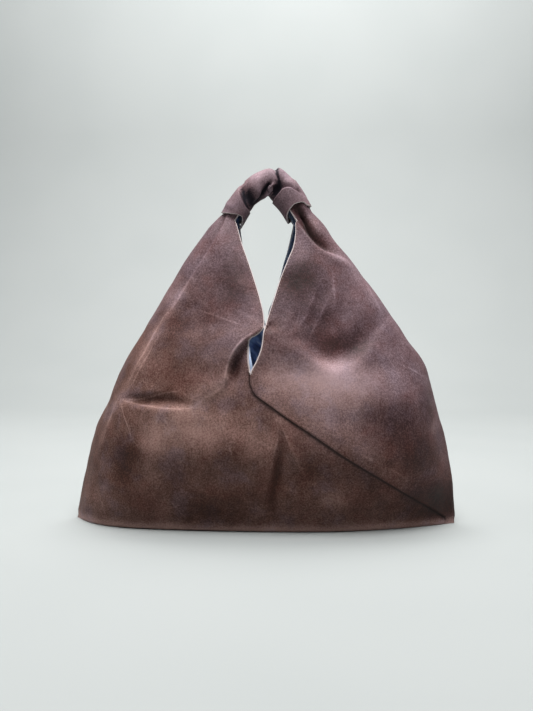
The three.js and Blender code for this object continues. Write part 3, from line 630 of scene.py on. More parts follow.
def fold_field(points, folds, scale):
    """Rise, and rubbing with painted highlight and shade, of a list of folds at points. scale turns a path's
    shares into metres.
    """
    rise = np.zeros(len(points))
    rub_and_shading = np.zeros(len(points))
    for fold in folds:
        (left_rise, left_wide), (right_rise, right_wide) = fold["left"], fold["right"]
        path = smooth_path(np.array(fold["path"]) * scale)
        reach = FOLD_REACH * max(left_wide, right_wide, fold["glow"]) * MM
        chosen, away, side, place = near_path(points, path, reach)
        soft = fold.get("soft", USUAL_SOFT) * MM
        leftward = 0.5 + 0.5 * np.tanh(side * away / soft)
        left = left_rise * np.exp(-((away / (left_wide * MM)) ** 2))
        right = right_rise * np.exp(-((away / (right_wide * MM)) ** 2))
        ends = fade(place)
        rise[chosen] += ends * (leftward * left + (1 - leftward) * right) * MM
        left_rub_and_shading, right_rub_and_shading = np.broadcast_to(fold["rub_and_shading"], 2)
        rubbed_and_shaded = leftward * left_rub_and_shading + (1 - leftward) * right_rub_and_shading
        rub_and_shading[chosen] += rubbed_and_shaded * ends * np.exp(-((away / (fold["glow"] * MM)) ** 2))
    return rise, rub_and_shading


def crease_fields(points, scale):
    """For each set of crease lines: a signed distance in line widths, and how light the line is there."""
    fields = {}
    for kind in range(CREASE_KINDS):
        gap = np.full(len(points), NO_LINE)
        light = np.zeros(len(points))
        for crease in (one for one in CREASES if one["kind"] == kind):
            path = smooth_path(np.array(crease["path"]) * scale)
            chosen, away, side, place = near_path(points, path, CREASE_REACH)
            widths = away / (crease["wide"] * MM)
            nearer = widths < np.abs(gap[chosen])
            spots = chosen[nearer]
            gap[spots] = (side * widths)[nearer]
            light[spots] = (crease["rub_and_shading"] * fade(place) * np.clip(2 - away / CREASE_FADE, 0, 1))[nearer]
        fields[f"line_{kind}"], fields[f"light_{kind}"] = gap, light
    return fields


def patch_field(points, scale):
    """Tone of the patches at points: rubbed and oiled wax, painted highlight and painted shade."""
    tone = np.zeros(len(points))
    for x, level, wide, tall, amount in zip(*PATCHES.values()):
        gap = (points - np.array([x, level]) * scale) / (np.array([wide, tall]) * MM)
        tone += amount * np.exp(-(gap**2).sum(1))
    return tone


def ripples(points, height, seed):
    """Small random waves of many lengths, the same ones each time."""
    rng = np.random.default_rng(seed)
    total = np.zeros(len(points))
    for wave_mm in RIPPLE_WAVES_MM:
        for _ in range(WAVES_EACH):
            way = rng.normal(size=3)
            way /= np.linalg.norm(way)
            turns = points @ way * (2 * math.pi / (wave_mm * MM)) + rng.uniform(0, 2 * math.pi)
            total += np.sin(turns) * (wave_mm / RIPPLE_WAVES_MM[0]) ** RIPPLE_SHAPE
    return total * height / RIPPLE_SPREAD


class Surface:
    """A triangulated surface with values at its points."""

    def __init__(self, grids, flips, diagonals):
        points = np.vstack([g["points"].reshape(-1, 3) for g in grids])
        keys = np.round(points / MERGE).astype(np.int64)
        _, first, merged = np.unique(keys, axis=0, return_index=True, return_inverse=True)
        merged = merged.ravel()
        self.points = points[first]
        self.values = {}
        for name in grids[0]:
            if name != "points":
                flat = np.concatenate([g[name].ravel() for g in grids])
                kept = np.full(len(first), -np.inf)
                np.maximum.at(kept, merged, flat)
                self.values[name] = kept
        self.ids = []
        faces = []
        offset = 0
        for grid, flip, slope in zip(grids, flips, diagonals):
            rows, columns = grid["points"].shape[:2]
            ids = merged[offset:offset + rows * columns].reshape(rows, columns)
            self.ids.append(ids)
            offset += rows * columns
            a, b = ids[:-1, :-1].ravel(), ids[:-1, 1:].ravel()
            c, d = ids[1:, 1:].ravel(), ids[1:, :-1].ravel()
            down = slope.ravel()
            one = np.where(down[:, None], np.stack([a, b, c], 1), np.stack([a, b, d], 1))
            two = np.where(down[:, None], np.stack([a, c, d], 1), np.stack([b, c, d], 1))
            both = np.vstack([one, two])
            faces.append(both[:, ::-1] if flip else both)
        faces = np.vstack(faces)
        whole = (faces[:, 0] != faces[:, 1]) & (faces[:, 1] != faces[:, 2]) & (faces[:, 2] != faces[:, 0])
        self.faces = faces[whole]

    def normals(self):
        """The way out at each point."""
        a, b, c = (self.points[self.faces[:, k]] for k in range(3))
        cross = np.cross(b - a, c - a)
        out = np.zeros_like(self.points)
        for k in range(3):
            np.add.at(out, self.faces[:, k], cross)
        return out / np.maximum(np.linalg.norm(out, axis=1, keepdims=True), 1e-12)

    def wall(self, outer, inner):
        """Points and faces of a closed wall between two depths under the surface. Neither skin comes nearer
        to the floor than its depth."""
        out = self.normals()
        count = len(self.points)
        points = np.vstack([self.points - outer * out, self.points - inner * out])
        lowest = np.repeat([outer, inner], count)  # else a skin comes out underneath in a pointed corner
        points[:, 2] = np.maximum(points[:, 2], lowest)
        edges = np.vstack([self.faces[:, [0, 1]], self.faces[:, [1, 2]], self.faces[:, [2, 0]]])
        codes = edges[:, 0] * count + edges[:, 1]
        free = edges[~np.isin(codes, edges[:, 1] * count + edges[:, 0])]
        start, end = free[:, 0], free[:, 1]
        rim = np.vstack([
            np.stack([end, start, start + count], 1),
            np.stack([end, start + count, end + count], 1),
        ])
        return points, np.vstack([self.faces, self.faces[:, ::-1] + count, rim])


def mesh_object(name, points, faces, values=None, uv=None):
    """A smooth mesh object with float attributes and a UV map from values at its points."""
    mesh = bpy.data.meshes.new(name)
    mesh.from_pydata(points.tolist(), [], faces.tolist())
    for key, value in (values or {}).items():
        layer = mesh.attributes.new(key, "FLOAT", "POINT")
        layer.data.foreach_set("value", np.asarray(value, np.float32))
    if uv is not None:
        corners = np.zeros(len(mesh.loops), np.int32)
        mesh.loops.foreach_get("vertex_index", corners)
        layer = mesh.uv_layers.new(name="cloth")
        layer.data.foreach_set("uv", uv[corners].astype(np.float32).ravel())
    mesh.shade_smooth()
    mesh.validate()
    obj = bpy.data.objects.new(name, mesh)
    bpy.context.scene.collection.objects.link(obj)
    return obj


def depth_at(bag, level):
    """Half the depth that the tables' shares are of: the base's on the floor, the belly's further up."""
    share = np.minimum(np.asarray(level) / BELLY_LEVEL, 1)
    return (bag.base_depth + (bag.belly_depth - bag.base_depth) * share) / 2


def wall_height(height):
    """Height of a wall point, with the hem turned under in a quarter circle."""
    share = np.clip(height / HEM_ROUND, 0, 1)
    return np.where(height < HEM_ROUND, HEM_ROUND * (1 - np.sqrt(1 - share**2)), height)


def wall_levels():
    """Levels of the wall's rows from the floor up. The first ones follow the seam up to the middle line."""
    start, end = SEAM["x"][0], SEAM["x"][-1]
    seam = read(SEAM, "level", np.linspace(end, start, COLUMNS + 1), "x")
    lip = np.linspace(seam[-1], V_LEVEL, LIP_ROWS + 1)[1:]
    neck = np.linspace(V_LEVEL, 1, NECK_ROWS + 1)[1:-1]
    return np.concatenate([seam, lip, neck])


def entry_row(bag, sleeve, is_right, is_back):
    """A peak's section where it enters the sleeve, as the last row of its tables: part of an ellipse."""
    along = float(is_right)
    middle, way, _ = sleeve_frame(sleeve, bag, along)
    slant = abs(way[0] / way[2])
    play = sleeve.wall + bag.seat_gap
    half_thick = (read(SLEEVE_LINE, "thick", along, "along") * sleeve.thick / 2 - play) / math.hypot(1, slant)
    half_deep = read(SLEEVE_LINE, "deep", along, "along") * sleeve.deep / 2 - play
    wrap = (BACK_WRAP if is_back else FRONT_WRAP) * 2 * math.pi
    place = abs(middle[0])
    return dict(
        level=1, height=middle[2] - slant * place, slant=slant, side=place + half_thick,
        x=place + math.cos(wrap) * half_thick, y=math.sin(wrap) * half_deep,
        reach=1, out=math.tan(wrap / 2) * half_deep, weight=math.cos(wrap / 2),
    )


def quarter_tables(bag, sleeve, is_right, is_back):
    """Outline, edges and panel of one quarter, with x as the distance from the bag's axis."""
    hand = "right" if is_right else "left"
    sign = 1 if is_right else -1
    edge_rows = BACK_EDGES if is_back else FRONT_EDGES
    panel_rows = UNDER_PANEL if is_right == is_back else OVER_PANEL
    outline = dict(
        level=OUTLINE["level"], height=OUTLINE["level"] * bag.neck_level,
        slant=OUTLINE[hand + "_slant"], side=OUTLINE[hand] * HALF_BASE)
    edges = dict(
        level=edge_rows["level"], x=edge_rows[hand] * HALF_BASE * sign,
        y=edge_rows["y"] * depth_at(bag, edge_rows["level"]))
    panel = dict(panel_rows, out=panel_rows["out"] * depth_at(bag, panel_rows["level"]))
    entry = entry_row(bag, sleeve, is_right, is_back)
    return [
        {name: np.append(column, entry[name]) for name, column in rows.items()}
        for rows in (outline, edges, panel)
    ]


def conic(edge, corner, side, weight):
    """A conic arc from a mouth edge to the side fold."""
    t = np.linspace(0, 1, ARC_STEPS + 1)[:, None]
    a, b, c = (1 - t) ** 2, 2 * weight * t * (1 - t), t**2
    return (a * edge + b * corner + c * side) / (a + b + c)


def column_shares(row, edge_x, arc, run, is_over, is_joined):
    """Where a row's columns lie along its arc, and which of them are on the over side of the seam."""
    shares = np.linspace(0, 1, COLUMNS + 1)
    over = np.full(COLUMNS + 1, float(is_over))
    seam = COLUMNS - row
    step = SEAM_STEP / run[-1]
    if is_over and seam > 0:
        x = edge_x + (HALF_BASE - edge_x) * seam / COLUMNS
        split = 1 if seam == COLUMNS else np.interp(x, arc[:, 0], run) / run[-1]
        under = np.linspace(0, split - min(step, split / 2), seam)
        shares = np.concatenate([under, np.linspace(split, 1, COLUMNS + 1 - seam)])
        over[:seam] = 0
    elif not is_over and seam <= 0 and is_joined:
        shares[1] = step
    return shares, over


def quarter_grid(bag, sleeve, length, is_right, is_back):
    """Points and values of one quarter: rows from the base's middle line up into the sleeve."""
    outline, edges, panel = quarter_tables(bag, sleeve, is_right, is_back)
    joined = {name: column[edges["level"] <= V_LEVEL] for name, column in edges.items()}
    sides = np.array([1 if is_right else -1, 1 if is_back else -1, 1])
    rows, overs, edge_gaps, widths = [], [], [], []
    for i, level in enumerate(wall_levels()):
        is_joined = level <= V_LEVEL
        edge_rows = joined if is_joined else edges
        edge = np.array([read(edge_rows, "x", level), read(edge_rows, "y", level)])
        side = np.array([read(outline, "side", level), 0])
        reach = read(panel, "reach", level)
        corner = np.array([edge[0] + (side[0] - edge[0]) * reach, read(panel, "out", level)])
        arc = conic(edge, corner, side, read(panel, "weight", level))
        run = np.concatenate([[0], np.cumsum(np.linalg.norm(np.diff(arc, axis=0), axis=1))])
        shares, over = column_shares(i, edge[0], arc, run, is_right != is_back, is_joined)
        x = np.interp(shares * run[-1], run, arc[:, 0])
        y = np.interp(shares * run[-1], run, arc[:, 1])
        z = wall_height(read(outline, "height", level)) + read(outline, "slant", level) * x
        rows.append(np.stack([x, y, z], 1) * sides)
        overs.append(over)
        below = max(V_LEVEL - level, 0) * bag.neck_level
        above = np.clip((level - V_LEVEL) / UPPER_EDGE_SHARE, 0, 1)
        edge_gaps.append(np.hypot(shares * run[-1], below) * (1 + UPPER_NARROW * above))
        widths.append(shares * run[-1])
    t = np.linspace(0, 1, COLUMNS + 1)
    middle = np.zeros_like(rows[0])
    middle[:, 0] = t * rows[0][-1, 0]
    base = [middle + (rows[0] - middle) * share for share in np.linspace(0, 1, BASE_ROWS, endpoint=False)]
    wrap = (BACK_WRAP if is_back else FRONT_WRAP) * (1 - t)
    turn = 1 - wrap if is_back else wrap
    tuck = []
    for share in np.linspace(0, 1, TUCK_ROWS):
        inwards = share * bag.tuck / length
        along = np.full(COLUMNS + 1, 1 - inwards if is_right else inwards)
        tuck.append(sleeve_points(sleeve, bag, length, along, turn, sleeve.wall + bag.seat_gap)[0])
    far = np.full(COLUMNS + 1, bag.neck_level)
    tuck_gap = t * widths[-1][-1]
    v = np.concatenate([
        -np.linspace(bag.base_depth / 2, 0, BASE_ROWS, endpoint=False),
        wall_levels() * bag.neck_level,
        bag.neck_level + np.linspace(0, bag.tuck, TUCK_ROWS),
    ])
    across = np.array([widths[0]] * BASE_ROWS + widths + [tuck_gap] * TUCK_ROWS)
    return dict(
        points=np.array(base + rows + tuck),
        over=np.array([overs[0] * 0] * BASE_ROWS + overs + [overs[-1]] * TUCK_ROWS),
        near_edge=-np.array([far] * BASE_ROWS + edge_gaps + [tuck_gap] * TUCK_ROWS),
        across=across * sides[0],
        up=np.repeat(v[:, None], COLUMNS + 1, axis=1),
    )


def seam_path(bag, middle_x):
    """The seam as seen from its side of the bag, from the bottom of the V to the corner."""
    start = SEAM["x"][0]
    x = middle_x + (SEAM["x"] - start) / (1 - start) * (1 - middle_x)
    points = np.stack([x, SEAM["level"]], 1)
    points = np.vstack([[middle_x, V_LEVEL], points]) * [HALF_BASE, bag.neck_level]
    return smooth_path(points)


def bag_surface(bag, sleeve):
    """The bag's outer surface with its folds, seams and wear, and its painted highlight and shade."""
    length = sleeve_length(sleeve, bag)
    quarters = [(is_right, is_back) for is_right in (True, False) for is_back in (False, True)]
    grids = [quarter_grid(bag, sleeve, length, *quarter) for quarter in quarters]
    flips = [is_right == is_back for is_right, is_back in quarters]
    slopes = []
    for grid, flip in zip(grids, flips):
        slope = np.ones((grid["points"].shape[0] - 1, COLUMNS), bool)
        if not flip:
            slope[BASE_ROWS:BASE_ROWS + COLUMNS] = False
        slopes.append(slope)
    surface = Surface(grids, flips, slopes)
    points = surface.points
    is_back = points[:, 1] > 0
    seen = np.stack([np.where(is_back, -points[:, 0], points[:, 0]), points[:, 2]], 1)
    scale = np.array([HALF_BASE, bag.neck_level])
    rise, rub_and_shading = fold_field(seen, FOLDS, scale)
    rise *= np.where(is_back, BACK_FOLD_SHARE, 1) * np.clip(np.abs(points[:, 1]) / SIDE_FADE, 0, 1)
    rub_and_shading += patch_field(seen, scale) + HEM_LIGHTENING * np.exp(-((points[:, 2] / HEM_ROUND) ** 2))
    rise += ripples(points, bag.ripple, SEED)
    away, place = np.zeros(len(points)), np.zeros(len(points))
    for chosen, middle_x in ((~is_back, SEAM["x"][0]), (is_back, 0)):
        gap, _, along = along_path(seen[chosen], seam_path(bag, middle_x))
        away[chosen], place[chosen] = gap, along
    over = surface.values["over"] > 0.5
    lip = SEAM_RISE + (LIP_RISE - SEAM_RISE) * np.clip(1 - place / LIP_SHARE, 0, 1)
    rise += np.where(over, lip * np.exp(-away / LIP_WIDE), -SEAM_FOOT * np.exp(-away / SINK_WIDE))
    foot = np.clip((points[:, 2] - FLAT_FOOT) / FOOT_RISE, 0, 1)
    is_tucked = surface.values["up"] >= bag.neck_level
    rise *= foot * foot * (3 - 2 * foot)
    deep = np.clip(1 - (surface.values["up"] - bag.neck_level) / TUCK_FADE, 0, 1)
    rise = np.where(is_tucked, np.minimum(rise, TUCK_RISE) * deep, rise)
    surface.points = points + surface.normals() * rise[:, None]
    surface.values["rub_and_shading"] = rub_and_shading
    surface.values["seam"] = np.where(over, SEAM_LINE_OVER_NARROWING, 1) * away
    surface.values.update(crease_fields(seen, scale))
    surface.values["edge"] = -surface.values.pop("near_edge")
    return surface


def sleeve_points(sleeve, bag, length, along, turn, inset=0.0):
    """Points of the sleeve's outer surface, or of one set inwards from it, and how much each is rubbed, with
    painted highlight and shade.
    """
    middle, _, outwards = sleeve_frame(sleeve, bag, along)
    girth = math.pi * sleeve.thick
    shape = along.shape
    rise = np.zeros(along.size)
    rub_and_shading = np.zeros(along.size)
    for fold in SLEEVE_FOLDS:
        centre = np.mean([around for _, around in fold["path"]])
        near = turn - np.round(turn - centre)
        places = np.stack([along * length, near * girth], -1).reshape(-1, 2)
        one_rise, one_rub_and_shading = fold_field(places, [fold], np.array([length, girth]))
        rise += one_rise
        rub_and_shading += one_rub_and_shading
    rise, rub_and_shading = rise.reshape(shape), rub_and_shading.reshape(shape)
    angle = turn * 2 * math.pi
    half_thick = read(SLEEVE_LINE, "thick", along, "along") * sleeve.thick / 2 + rise - inset
    half_deep = read(SLEEVE_LINE, "deep", along, "along") * sleeve.deep / 2 + rise - inset
    points = middle + outwards * (np.cos(angle) * half_thick)[..., None]
    points[..., 1] -= np.sin(angle) * half_deep
    return points, rub_and_shading


def sleeve_surface(bag, sleeve):
    """The sleeve's outer surface, from its left cuff to its right one."""
    length = sleeve_length(sleeve, bag)
    turn = (np.arange(SLEEVE_AROUND + 1) % SLEEVE_AROUND) / SLEEVE_AROUND
    first = sleeve.arch * read(CUFFS, "left", turn, "turn") / length
    last = 1 - sleeve.arch * read(CUFFS, "right", turn, "turn") / length
    share = np.linspace(0, 1, SLEEVE_ALONG + 1)[:, None]
    along = first + (last - first) * share
    turns = np.repeat(turn[None], SLEEVE_ALONG + 1, axis=0)
    points, rub_and_shading = sleeve_points(sleeve, bag, length, along, turns)
    from_cuff = np.minimum(along - first, last - along) * length
    around = np.repeat(np.arange(SLEEVE_AROUND + 1)[None] / SLEEVE_AROUND, SLEEVE_ALONG + 1, axis=0)
    grid = dict(
        points=points, rub_and_shading=rub_and_shading, edge=from_cuff * CUFF_EDGE_NARROWING, seam=rub_and_shading * 0 + 1,
        across=np.where(around > 0.5, 1 - around, around) * math.pi * sleeve.thick, up=along * length)
    surface = Surface([grid], [False], [np.ones((SLEEVE_ALONG, SLEEVE_AROUND), bool)])
    waves = ripples(surface.points, bag.ripple * SLEEVE_RIPPLE, SEED + 1)
    surface.points += surface.normals() * waves[:, None]
    return surface


def rolled_lip(surface, bag):
    """How far each point of the lining is rolled out over the canvas, at the left of the front mouth."""
    shift = np.zeros_like(surface.points)
    edge = surface.ids[LEFT_FRONT][:, 0]
    level = surface.points[edge, 2] / bag.neck_level
    amount = np.exp(-(((level - LIP_LEVEL) / LIP_SPREAD) ** 2))
    shift[edge] = amount[:, None] * LIP_ROLL
    return shift


def cloth_piece(name, surface, outer, inner, material, shift=None):
    """A closed wall of cloth under a surface, with its wear and its painted highlight and shade as
    attributes.
    """
    points, faces = surface.wall(outer, inner)
    if shift is not None:
        points += np.tile(shift, (2, 1))
    twice = {key: np.tile(value, 2) for key, value in surface.values.items()}
    uv = np.stack([twice.pop("across"), twice.pop("up")], 1)
    twice.pop("over", None)
    obj = mesh_object(name, points, faces, twice, uv)
    obj.data.materials.append(material)
    return obj


def add(tree, kind, inputs=None, **settings):
    """A new node with its settings, and its inputs set to values or linked to sockets."""
    new = tree.nodes.new(kind)
    for name, value in settings.items():
        setattr(new, name, value)
    for key, value in (inputs or {}).items():
        if isinstance(value, bpy.types.NodeSocket):
            tree.links.new(value, new.inputs[key])
        else:
            new.inputs[key].default_value = value
    return new


NOISES = (
    # name, size in millimetres, detail
    ("cloud", 60, 5.0),
    ("hue", 34, 3.0),
    ("blotch", 18, 4.0),
    ("grain", 1.7, 2.0),
    ("crumple", 6, 3.0),
    ("dent", 22, 2.0),
)
CLOUDS, BLOTCHES, GRAIN = 0.65, 0.45, 1.15  # how strongly each noise lightens and darkens the wax
RUB_AND_SHADING_AMOUNT, CREASED = 0.75, 0.6  # and how much the rubbing with painted highlight and shade, and the crease lines, lighten and darken it
WEAVE = 1.6 * MM  # from one thread of the canvas to the next, as drawn
MIX_FACTOR, MIX_A, MIX_B, MIX_RESULT = 0, 6, 7, 2  # colour sockets of a Mix node
WAVE_SCALE = 0.314  # scale of a wave texture, times metres, for one wave


class BagColours(bpy.types.PropertyGroup):
    """Colours of the bag's finishes"""

    # Painted shade in hollows and under steps is coloured with this too, besides the darker, oiled wax.
    canvas_dark_and_shade: bpy.props.FloatVectorProperty(
        name="Oiled canvas", description="Where wax and oil have soaked in", subtype="COLOR", size=4,
        min=0, max=1, default=linear("#1e100e"))
    canvas: bpy.props.FloatVectorProperty(
        name="Canvas", description="Most of the waxed canvas", subtype="COLOR", size=4,
        min=0, max=1, default=linear("#422b2e"))
    # Towards the base: the canvas's own browner colour, darkened with painted shade of the lower cloth, which
    # faces down.
    canvas_low: bpy.props.FloatVectorProperty(
        name="Lower canvas", description="Towards the base, browner and darker", subtype="COLOR", size=4,
        min=0, max=1, default=linear("#3a1c10"))
    # Rubbed wax, and the painted highlight on ridges and on the upward-facing shelf.
    canvas_light: bpy.props.FloatVectorProperty(
        name="Rubbed canvas", description="Where creases have rubbed the wax pale", subtype="COLOR", size=4,
        min=0, max=1, default=linear("#a68f97"))
    russet: bpy.props.FloatVectorProperty(
        name="Russet", description="Patches where the wax shows redder", subtype="COLOR", size=4,
        min=0, max=1, default=linear("#502117"))
    mauve: bpy.props.FloatVectorProperty(
        name="Mauve", description="Patches where a bloom of wax cools the cloth", subtype="COLOR", size=4,
        min=0, max=1, default=linear("#3f2f38"))
    mauve_light: bpy.props.FloatVectorProperty(
        name="Rubbed mauve", description="The same patches where they are rubbed", subtype="COLOR", size=4,
        min=0, max=1, default=linear("#a493a0"))
    tan: bpy.props.FloatVectorProperty(
        name="Rubbed lower canvas", description="Where the lower canvas is rubbed, tan", subtype="COLOR",
        size=4, min=0, max=1, default=linear("#a8877f"))
    # Painted shade in the sleeve's hollows and painted shadow under its bands, with its darker wax.
    sleeve_dark_and_shade: bpy.props.FloatVectorProperty(
        name="Sleeve hollows", description="Wax and dye gathered in the sleeve's folds", subtype="COLOR",
        size=4, min=0, max=1, default=linear("#14121c"))
    sleeve_canvas: bpy.props.FloatVectorProperty(
        name="Sleeve", description="Most of the sleeve, which hands have rubbed paler", subtype="COLOR",
        size=4, min=0, max=1, default=linear("#5a464a"))
    # The pale mouth edges: worn thread, and a painted highlight on the lit turned edge.
    edge: bpy.props.FloatVectorProperty(
        name="Worn edge", description="Bare thread along the mouth edges", subtype="COLOR", size=4,
        min=0, max=1, default=linear("#bdb1af"))
    lining: bpy.props.FloatVectorProperty(
        name="Lining", description="Blue cotton of the lining", subtype="COLOR", size=4,
        min=0, max=1, default=linear("#7592c2"))
    lining_deep: bpy.props.FloatVectorProperty(
        name="Deep lining", description="The lining where its dye is fuller", subtype="COLOR", size=4,
        min=0, max=1, default=linear("#3a4f82"))
    # Painted light: the lining near the mouth, where light comes in, and painted sheen on its folds' crests.
    lining_lit: bpy.props.FloatVectorProperty(
        name="Lining's edge", description="The lining faded by light beside the mouth", subtype="COLOR",
        size=4, min=0, max=1, default=linear("#a9b9d2"))
    # Painted shade deep between the lining's folds.
    lining_hollow_shade: bpy.props.FloatVectorProperty(
        name="Lining's hollows", description="Deep between the lining's folds", subtype="COLOR",
        size=4, min=0, max=1, default=linear("#101a36"))
    thread: bpy.props.FloatVectorProperty(
        name="Thread", description="Brown topstitching thread", subtype="COLOR", size=4,
        min=0, max=1, default=linear("#5d4436"))
    floor_shade: bpy.props.FloatVectorProperty(
        name="Floor's shade", description="Faint unevenness of the paper", subtype="COLOR", size=4,
        min=0, max=1, default=linear("#8b8f8e"))
    floor: bpy.props.FloatVectorProperty(
        name="Floor", description="Pale paper sweep", subtype="COLOR", size=4,
        min=0, max=1, default=linear("#929594"))


def new_material(name):
    """A new material: its nodes, its shader and where each point lies on the object."""
    material = bpy.data.materials.new(name)
    material.use_nodes = True
    tree = material.node_tree
    place = add(tree, "ShaderNodeTexCoord").outputs["Object"]
    return material, tree, tree.nodes["Principled BSDF"], place


def layered(tree, colour, layers):
    """A colour with others laid over it in turn, each from none to all of it as its source goes from one
    value to another."""
    for source, none_at, all_at, most, over in layers:
        share = add(tree, "ShaderNodeMapRange", {
            "Value": source, "From Min": none_at, "From Max": all_at, "To Max": most},
            interpolation_type="SMOOTHSTEP").outputs["Result"]
        colour = add(tree, "ShaderNodeMix", {
            MIX_FACTOR: share, MIX_A: colour, MIX_B: over}, data_type="RGBA").outputs[MIX_RESULT]
    return colour


def waxed_canvas(name, main, low, dark_and_shade, rubbed_low, colours, seed):
    """Cotton duck soaked in wax and worn: dull with a soft sheen, clouded where the wax has moved, and pale
    where creases and edges are rubbed. Painted shade darkens its hollows, the lower cloth and a line beside
    the seam, and painted highlight lightens its ridges, shelf and mouth edges. Its threads are under a pixel,
    so the weave is drawn at 1.6 mm."""
    material, tree, shader, place = new_material(name)
    here = add(tree, "ShaderNodeMapping", {"Vector": place, "Location": (seed, seed, seed)}).outputs["Vector"]
    cloth = add(tree, "ShaderNodeUVMap", uv_map="cloth").outputs["UV"]
    turned = add(tree, "ShaderNodeMapping", {"Vector": cloth, "Rotation": (0, 0, math.radians(45))})
    noise = {}
    for key, size_mm, detail in NOISES:
        noise[key] = add(tree, "ShaderNodeTexNoise", {
            "Vector": here, "Scale": 1 / (size_mm * MM), "Detail": detail, "Roughness": 0.6}).outputs["Fac"]
    wear_and_shading = {
        key: add(tree, "ShaderNodeAttribute", attribute_name=key).outputs["Fac"]
        for key in ("rub_and_shading", "seam", "edge", *(f"{part}_{kind}" for kind in range(CREASE_KINDS)
                                             for part in ("line", "light")))}
    lines = 0.0
    for kind in range(CREASE_KINDS):
        square = add(tree, "ShaderNodeMath", {
            0: wear_and_shading[f"line_{kind}"], 1: wear_and_shading[f"line_{kind}"]}, operation="MULTIPLY").outputs[0]
        crisp = add(tree, "ShaderNodeMath", {0: 1 / math.e, 1: square}, operation="POWER").outputs[0]
        lines = add(tree, "ShaderNodeMath", {
            0: crisp, 1: wear_and_shading[f"light_{kind}"], 2: lines}, operation="MULTIPLY_ADD").outputs[0]
    # Crease lines are broken up where the blotches are low.
    broken = add(tree, "ShaderNodeMapRange", {
        "Value": noise["blotch"], "From Min": 0.36, "From Max": 0.6, "To Min": 0.3}).outputs["Result"]
    lines = add(tree, "ShaderNodeMath", {0: lines, 1: broken}, operation="MULTIPLY").outputs[0]

    # tone sums the noises, the rubbing with painted highlight and painted shade from folds and patches, and
    # the crease lines.
    tone = -0.5 * (CLOUDS + BLOTCHES + GRAIN)  # the noises lie around a half
    for part, amount in (
        (noise["cloud"], CLOUDS), (noise["blotch"], BLOTCHES), (noise["grain"], GRAIN),
        (wear_and_shading["rub_and_shading"], RUB_AND_SHADING_AMOUNT), (lines, CREASED)):
        tone = add(tree, "ShaderNodeMath", {0: part, 1: amount, 2: tone}, operation="MULTIPLY_ADD").outputs[0]
    # The lower the height, the browner and darker the canvas, and it is brown further up at the left: partly
    # the canvas's own colour, partly painted shade of the lower cloth, which faces down.
    spot = add(tree, "ShaderNodeSeparateXYZ", {0: place}).outputs
    tone_height = spot["Z"]
    for part, amount in ((noise["cloud"], 0.16), (spot["X"], 0.55)):
        tone_height = add(tree, "ShaderNodeMath", {
            0: part, 1: amount, 2: tone_height}, operation="MULTIPLY_ADD").outputs[0]
    # The pale colour for rubbed wax and for painted highlight.
    rubbed_and_shaded = layered(tree, colours.canvas_light, [
        (tone_height, 0.4, 0.2, 1.0, rubbed_low),
        (noise["hue"], 0.5, 0.32, 0.3, colours.mauve_light),
    ])
    coloured = layered(tree, main, [
        # source, none at, all at, most, colour
        (tone_height, 0.37, 0.15, 1.0, low),
        (noise["hue"], 0.48, 0.68, 0.3, colours.russet),
        (noise["hue"], 0.52, 0.32, 0.3, colours.mauve),
        # Low tone paints darker wax, and painted shade in hollows; high tone paints rubbed wax, and painted
        # highlight on ridges and shelves.
        (tone, 0.0, -0.8, 0.95, dark_and_shade),
        (tone, -0.4, 1.35, 1.0, rubbed_and_shaded),
        # A dark line beside the seam: dirt, and painted shadow under the over panel's edge.
        (wear_and_shading["seam"], 3.0 * MM, 0.6 * MM, 0.85, dark_and_shade),
        # Pale mouth edges: worn thread, and a painted highlight on the lit turned edge.
        (wear_and_shading["edge"], 2.0 * MM, 1.0 * MM, 0.9, colours.edge),
    ])
    tree.links.new(coloured, shader.inputs["Base Color"])
    rough = add(tree, "ShaderNodeMapRange", {
        "Value": tone, "From Min": -0.6, "From Max": 0.8, "To Min": 0.56, "To Max": 0.8})
    tree.links.new(rough.outputs["Result"], shader.inputs["Roughness"])
    shader.inputs["Specular IOR Level"].default_value = 0.2
    shader.inputs["Sheen Weight"].default_value = 0.04
    shader.inputs["Sheen Roughness"].default_value = 0.5
    shader.inputs["Sheen Tint"].default_value = linear("#c9a9a4")

    heights = [
        (noise["grain"], 0.22 * MM), (noise["crumple"], 0.45 * MM), (noise["dent"], 1.1 * MM),
        (lines, 0.5 * MM)]
    for direction in ("X", "Y"):
        wave = add(tree, "ShaderNodeTexWave", {
            "Vector": turned.outputs["Vector"], "Scale": WAVE_SCALE / WEAVE, "Distortion": 0.6,
            "Detail": 1.0}, bands_direction=direction)
        heights.append((wave.outputs["Fac"], 0.05 * MM))
    relief = 0.0
    for part, height in heights:
        relief = add(tree, "ShaderNodeMath", {
            0: part, 1: height, 2: relief}, operation="MULTIPLY_ADD").outputs[0]
    bump = add(tree, "ShaderNodeBump", {"Height": relief, "Distance": 1.0, "Strength": 0.8})
    tree.links.new(bump.outputs["Normal"], shader.inputs["Normal"])
    return material


